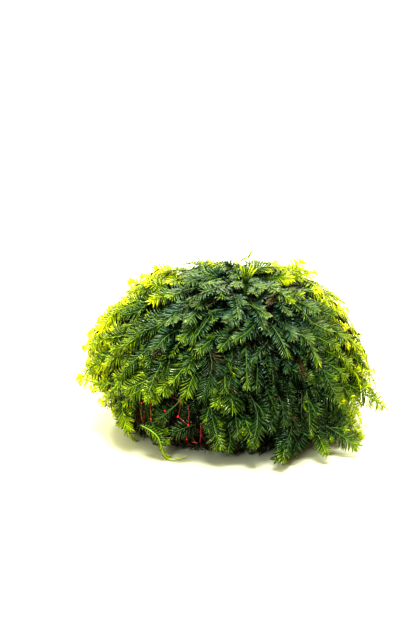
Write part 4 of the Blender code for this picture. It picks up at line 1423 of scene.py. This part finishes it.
class MOSS_OT_net(bpy.types.Operator):
    """Make the knotted net round the cushion"""

    bl_idname = "moss.net"
    bl_label = "Net"

    def execute(self, context):
        settings = context.scene.moss_net
        chance = np.random.default_rng(NET_SEED)
        knots = np.empty((settings.rows, settings.columns, 3))
        for row in range(settings.rows):
            turns = (np.arange(settings.columns) + 0.5 * (row % 2)) / settings.columns * 2 * math.pi
            turns = turns + chance.normal(0.0, KNOT_TURN_SPREAD, settings.columns)
            ways = FOOT_WAY - LOWEST_ROUND - row * settings.row_gap
            ways = ways + chance.normal(0.0, KNOT_WAY_SPREAD, settings.columns)
            heights = settings.off_cushion + chance.uniform(*KNOT_RISE, settings.columns) * MM
            knots[row] = over_dome(turns, ways, heights, 1.0)[0]
        knots[:, :, 2] = np.maximum(knots[:, :, 2], LOWEST_KNOT)

        thread = tube_template(sides=4, rings=4)
        threads = []
        for row in range(settings.rows - 1):
            for column in range(settings.columns):
                for step in (0, 1):
                    start = knots[row, column]
                    end = knots[row + 1, (column + step - 1 + row % 2) % settings.columns]
                    outward = (start + end) / 2 - UP * WAIST
                    bow = (start + end) / 2 + unit(outward) * chance.uniform(*THREAD_BOW) * MM
                    line = line_shoot((start, bow, end), steps=5)
                    clean = row < CLEAN_ROWS and in_window(bow)
                    tone = chance.uniform(*(CLEAN_TONES if clean else DARK_THREAD_TONES))
                    tones = (tone, tone + chance.normal(0.0, THREAD_TONE_SPREAD))
                    threads.append(tube_places(thread, line, settings.thread_radius, tones))
        thin = settings.thread_radius * SEEN_THIN
        for pixels in SEEN_THREADS:
            line = line_shoot([at_front(*pixel, SEEN_RISE) for pixel in pixels], steps=7)
            threads.append(tube_places(thread, line, thin, SEEN_TONES))
        bm = bmesh.new()
        bmesh.ops.create_icosphere(bm, subdivisions=1, radius=1.0)
        knot = template_from(bm)
        tied = []
        seen_knots = [at_front(*pixel, SEEN_RISE) for pixel in (*SEEN_KNOTS, *DULL_KNOTS)]
        for number, place in enumerate(np.concatenate([seen_knots, knots.reshape(-1, 3)])):
            angle, axis = chance.uniform(0, math.pi), Vector(chance.normal(size=3)).normalized()
            turn = Matrix.Rotation(angle, 3, axis)
            size = settings.knot_radius * chance.uniform(*KNOT_SIZE)
            shape = knot.places * (size * KNOT_SHAPE) @ np.array(turn)
            clean = chance.uniform(*HIDDEN_KNOT)
            if number < len(SEEN_KNOTS):
                clean = chance.uniform(*RED_KNOT)
            elif number < len(seen_knots):
                clean, shape = DULL_TONE, shape * DULL_SIZE
            elif number < (CLEAN_ROWS + 1) * settings.columns and in_window(place):
                clean = chance.uniform(*WINDOW_KNOT)
            maps = on_map(clean + knot.places[:, 0] * MAP_SPREAD, 0.5 + 0.4 * knot.places[:, 2])
            tied.append((place + shape, maps))
        mesh = joined_mesh("net_threads", [(thread, *as_part(threads, 0)), (knot, *as_part(tied, 0))])
        add_piece("net_threads", mesh, [net_material(settings)], "net_red", "net")
        return {"FINISHED"}


class MOSS_OT_shoots(bpy.types.Operator):
    """Make the large shoots, each in place of its solid"""

    bl_idname = "moss.shoots"
    bl_label = "Large shoots"

    def execute(self, context):
        sizes = context.scene.moss_leaf_sizes
        leaflet, stem = blade_template(sides=3, cuts=2), tube_template(sides=4, rings=6)
        nodes = sorted(name for name in frame["nodes"] if name.startswith("frond_"))
        for number, name in enumerate(nodes):
            chance = np.random.default_rng(SHOOT_SEED + number)
            slot = slot_of(name)
            node = frame["nodes"][name]
            middle = mesh_places(node).mean(0)
            way = way_down(middle) * WAIST_WAY / (math.pi / 2)
            patch_tone = at_patches(math.atan2(middle[1], middle[0]), way)[0]
            placed_tone = (1 - SLOT_SHARE) * (tone_at(middle) + patch_tone)
            tone = SLOT_SHARE * SLOT_TONES[slot] + placed_tone + chance.normal(0.0, LARGE_TONE_SPREAD)
            shoot = shoot_of_node(node, max(tone, LIVE_TONE), LARGE_BLOOM, chance)
            mesh = shoots_mesh(name.replace("frond", "shoot"), [shoot], leaflet, stem, sizes, chance)
            add_piece(mesh.name, mesh, plant_materials(), slot, name)
        return {"FINISHED"}


class MOSS_OT_undergrowth(bpy.types.Operator):
    """Make the small shoots between and under the large ones"""

    bl_idname = "moss.undergrowth"
    bl_label = "Undergrowth"

    def execute(self, context):
        add_layers(UNDERGROWTH, context.scene.moss_leaf_sizes)
        return {"FINISHED"}


class MOSS_OT_outer_shoots(bpy.types.Operator):
    """Make the small shoots that stand out of the dome, and the light tips among them"""

    bl_idname = "moss.outer_shoots"
    bl_label = "Outer shoots"

    def execute(self, context):
        add_layers(OUTER, context.scene.moss_leaf_sizes)
        return {"FINISHED"}


class MOSS_OT_skirt(bpy.types.Operator):
    """Make the short shoots that hang round the foot"""

    bl_idname = "moss.skirt"
    bl_label = "Skirt"

    def execute(self, context):
        add_layers(SKIRT, context.scene.moss_leaf_sizes)
        return {"FINISHED"}


class MOSS_OT_loose_stems(bpy.types.Operator):
    """Make the bare stem, the runner on the floor, the pale hair and the small things on the crown"""

    bl_idname = "moss.loose_stems"
    bl_label = "Loose stems"

    def execute(self, context):
        sizes = context.scene.moss_leaf_sizes
        chance = np.random.default_rng(LOOSE_SEED)
        tube = tube_template(sides=8, rings=40)
        leaflet = blade_template(sides=3, cuts=2)

        line = line_shoot(np.array(BARE_STEM) * MM, steps=60)
        stem = [tube_places(tube, line, BARE_STEM_RADIUS, BARE_STEM_TONES, taper=LOOSE_TAPER)]
        mesh = joined_mesh("bare_stem_skin", [(tube, *as_part(stem, 0))])
        add_piece("bare_stem_skin", mesh, [plant_materials()[1]], "stem_olive", "bare_stem")

        line = line_shoot(np.array(RUNNER) * MM, steps=80)
        stem = [tube_places(tube, line, RUNNER_RADIUS, RUNNER_TONES, taper=LOOSE_TAPER)]
        leafy = round(len(line.points) * RUNNER_LEAFY_SHARE)
        leafy_line = line.points[:leafy], line.ups[:leafy]
        shoot = Shoot(*leafy_line, RUNNER_HALF_WIDTH, RUNNER_TONE, RUNNER_BLOOM)
        copies, maps = leaflet_places(leaflet, shoot, sizes, chance)
        mesh = joined_mesh("runner_skin", [(leaflet, copies, maps, 0), (tube, *as_part(stem, 1))])
        add_piece("runner_skin", mesh, plant_materials(), "stem_olive", "runner")

        ends = [seen_at(*pixel, depth * MM) for pixel, depth in PALE_HAIR]
        line = line_shoot(ends, steps=30)
        hair = [tube_places(tube, line, HAIR_RADIUS, HAIR_TONES, taper=HAIR_TAPER)]
        mesh = joined_mesh("pale_hair", [(tube, *as_part(hair, 0))])
        add_piece("pale_hair", mesh, [plant_materials()[1]], "stem_olive")

        stalk = [seen_at(*pixel, STALK_DEPTH * MM) for pixel in STALK]
        stalk_line = line_shoot([stalk[0] + BLADE_ROOT, *stalk], steps=30)
        parts = [tube_places(tube, stalk_line, STALK_RADIUS, STALK_TONES, taper=STALK_TAPER)]
        blades = []
        for number, (foot, tip, width, tone, bloom) in enumerate(BLADES):
            if number < BLADES_ON_STALK:
                start = seen_at(*foot, STALK_DEPTH * MM)
            else:
                start = at_front(*foot, BLADE_RISE)
                root = line_shoot((start + BLADE_ROOT, start), steps=5)
                parts.append(tube_places(tube, root, STALK_RADIUS, (ROOT_TONE, tone)))
            end = seen_at(*tip, start[1])
            blade = line_shoot((start, (start + end) / 2 + UP * BLADE_ARCH, end), steps=9)
            places, _, up, side = along_shoot(blade, leaflet.places[:, 0])
            thick = leaflet.places[:, 2] * BLADE_THICKNESS * MM
            copy = beside(places, up, leaflet.places[:, 1] * width * MM, side, thick)
            across = tone + bloom * leaflet.places[:, 0] + leaflet.places[:, 1] * MAP_SPREAD
            share = np.clip(leaflet.places[:, 0] * 0.5, *LOWER_HALF)
            blades.append((copy, np.stack([across, share], axis=-1)))
        mesh = joined_mesh("crown_sprig", [(leaflet, *as_part(blades, 0)), (tube, *as_part(parts, 1))])
        add_piece("crown_sprig", mesh, plant_materials(), "fresh_green")
        return {"FINISHED"}


class MOSS_OT_placed_shoots(bpy.types.Operator):
    """Make the shoots that are placed by pixels of the photograph"""

    bl_idname = "moss.placed_shoots"
    bl_label = "Placed shoots"

    def execute(self, context):
        chance = np.random.default_rng(PLACED_SEED)
        leaflet, stem = blade_template(sides=3, cuts=2), tube_template(sides=4, rings=6)
        for name, slot, fronds in HAND_PLACED:
            shoots = [frond_shoot(frond, chance) for frond in fronds]
            mesh = shoots_mesh(name, shoots, leaflet, stem, context.scene.moss_leaf_sizes, chance)
            add_piece(name, mesh, plant_materials(), slot)
        return {"FINISHED"}


class MOSS_PT_panel(bpy.types.Panel):
    bl_idname = "MOSS_PT_panel"
    bl_label = "Moss clump"
    bl_space_type = "VIEW_3D"
    bl_region_type = "UI"
    bl_category = "Moss"

    def draw(self, context):
        for operator in OPERATORS:
            self.layout.operator(operator.bl_idname)
        for name, group in SETTINGS.items():
            box = self.layout.box()
            for setting in group.__annotations__:
                box.prop(getattr(context.scene, name), setting)


OPERATORS = (
    MOSS_OT_stage,
    MOSS_OT_cushion,
    MOSS_OT_net,
    MOSS_OT_shoots,
    MOSS_OT_undergrowth,
    MOSS_OT_outer_shoots,
    MOSS_OT_skirt,
    MOSS_OT_loose_stems,
    MOSS_OT_placed_shoots,
)
CLASSES = (*SETTINGS.values(), *OPERATORS, MOSS_PT_panel)


def register():
    for cls in CLASSES:
        bpy.utils.register_class(cls)
    for name, group in SETTINGS.items():
        setattr(bpy.types.Scene, name, bpy.props.PointerProperty(type=group))


def unregister():
    for name in SETTINGS:
        delattr(bpy.types.Scene, name)
    for cls in reversed(CLASSES):
        bpy.utils.unregister_class(cls)


def main():
    register()
    bpy.ops.moss.stage()
    bpy.ops.moss.cushion()
    bpy.ops.moss.net()
    bpy.ops.moss.shoots()
    bpy.ops.moss.undergrowth()
    bpy.ops.moss.outer_shoots()
    bpy.ops.moss.skirt()
    bpy.ops.moss.loose_stems()
    bpy.ops.moss.placed_shoots()


if __name__ == "__main__":
    main()
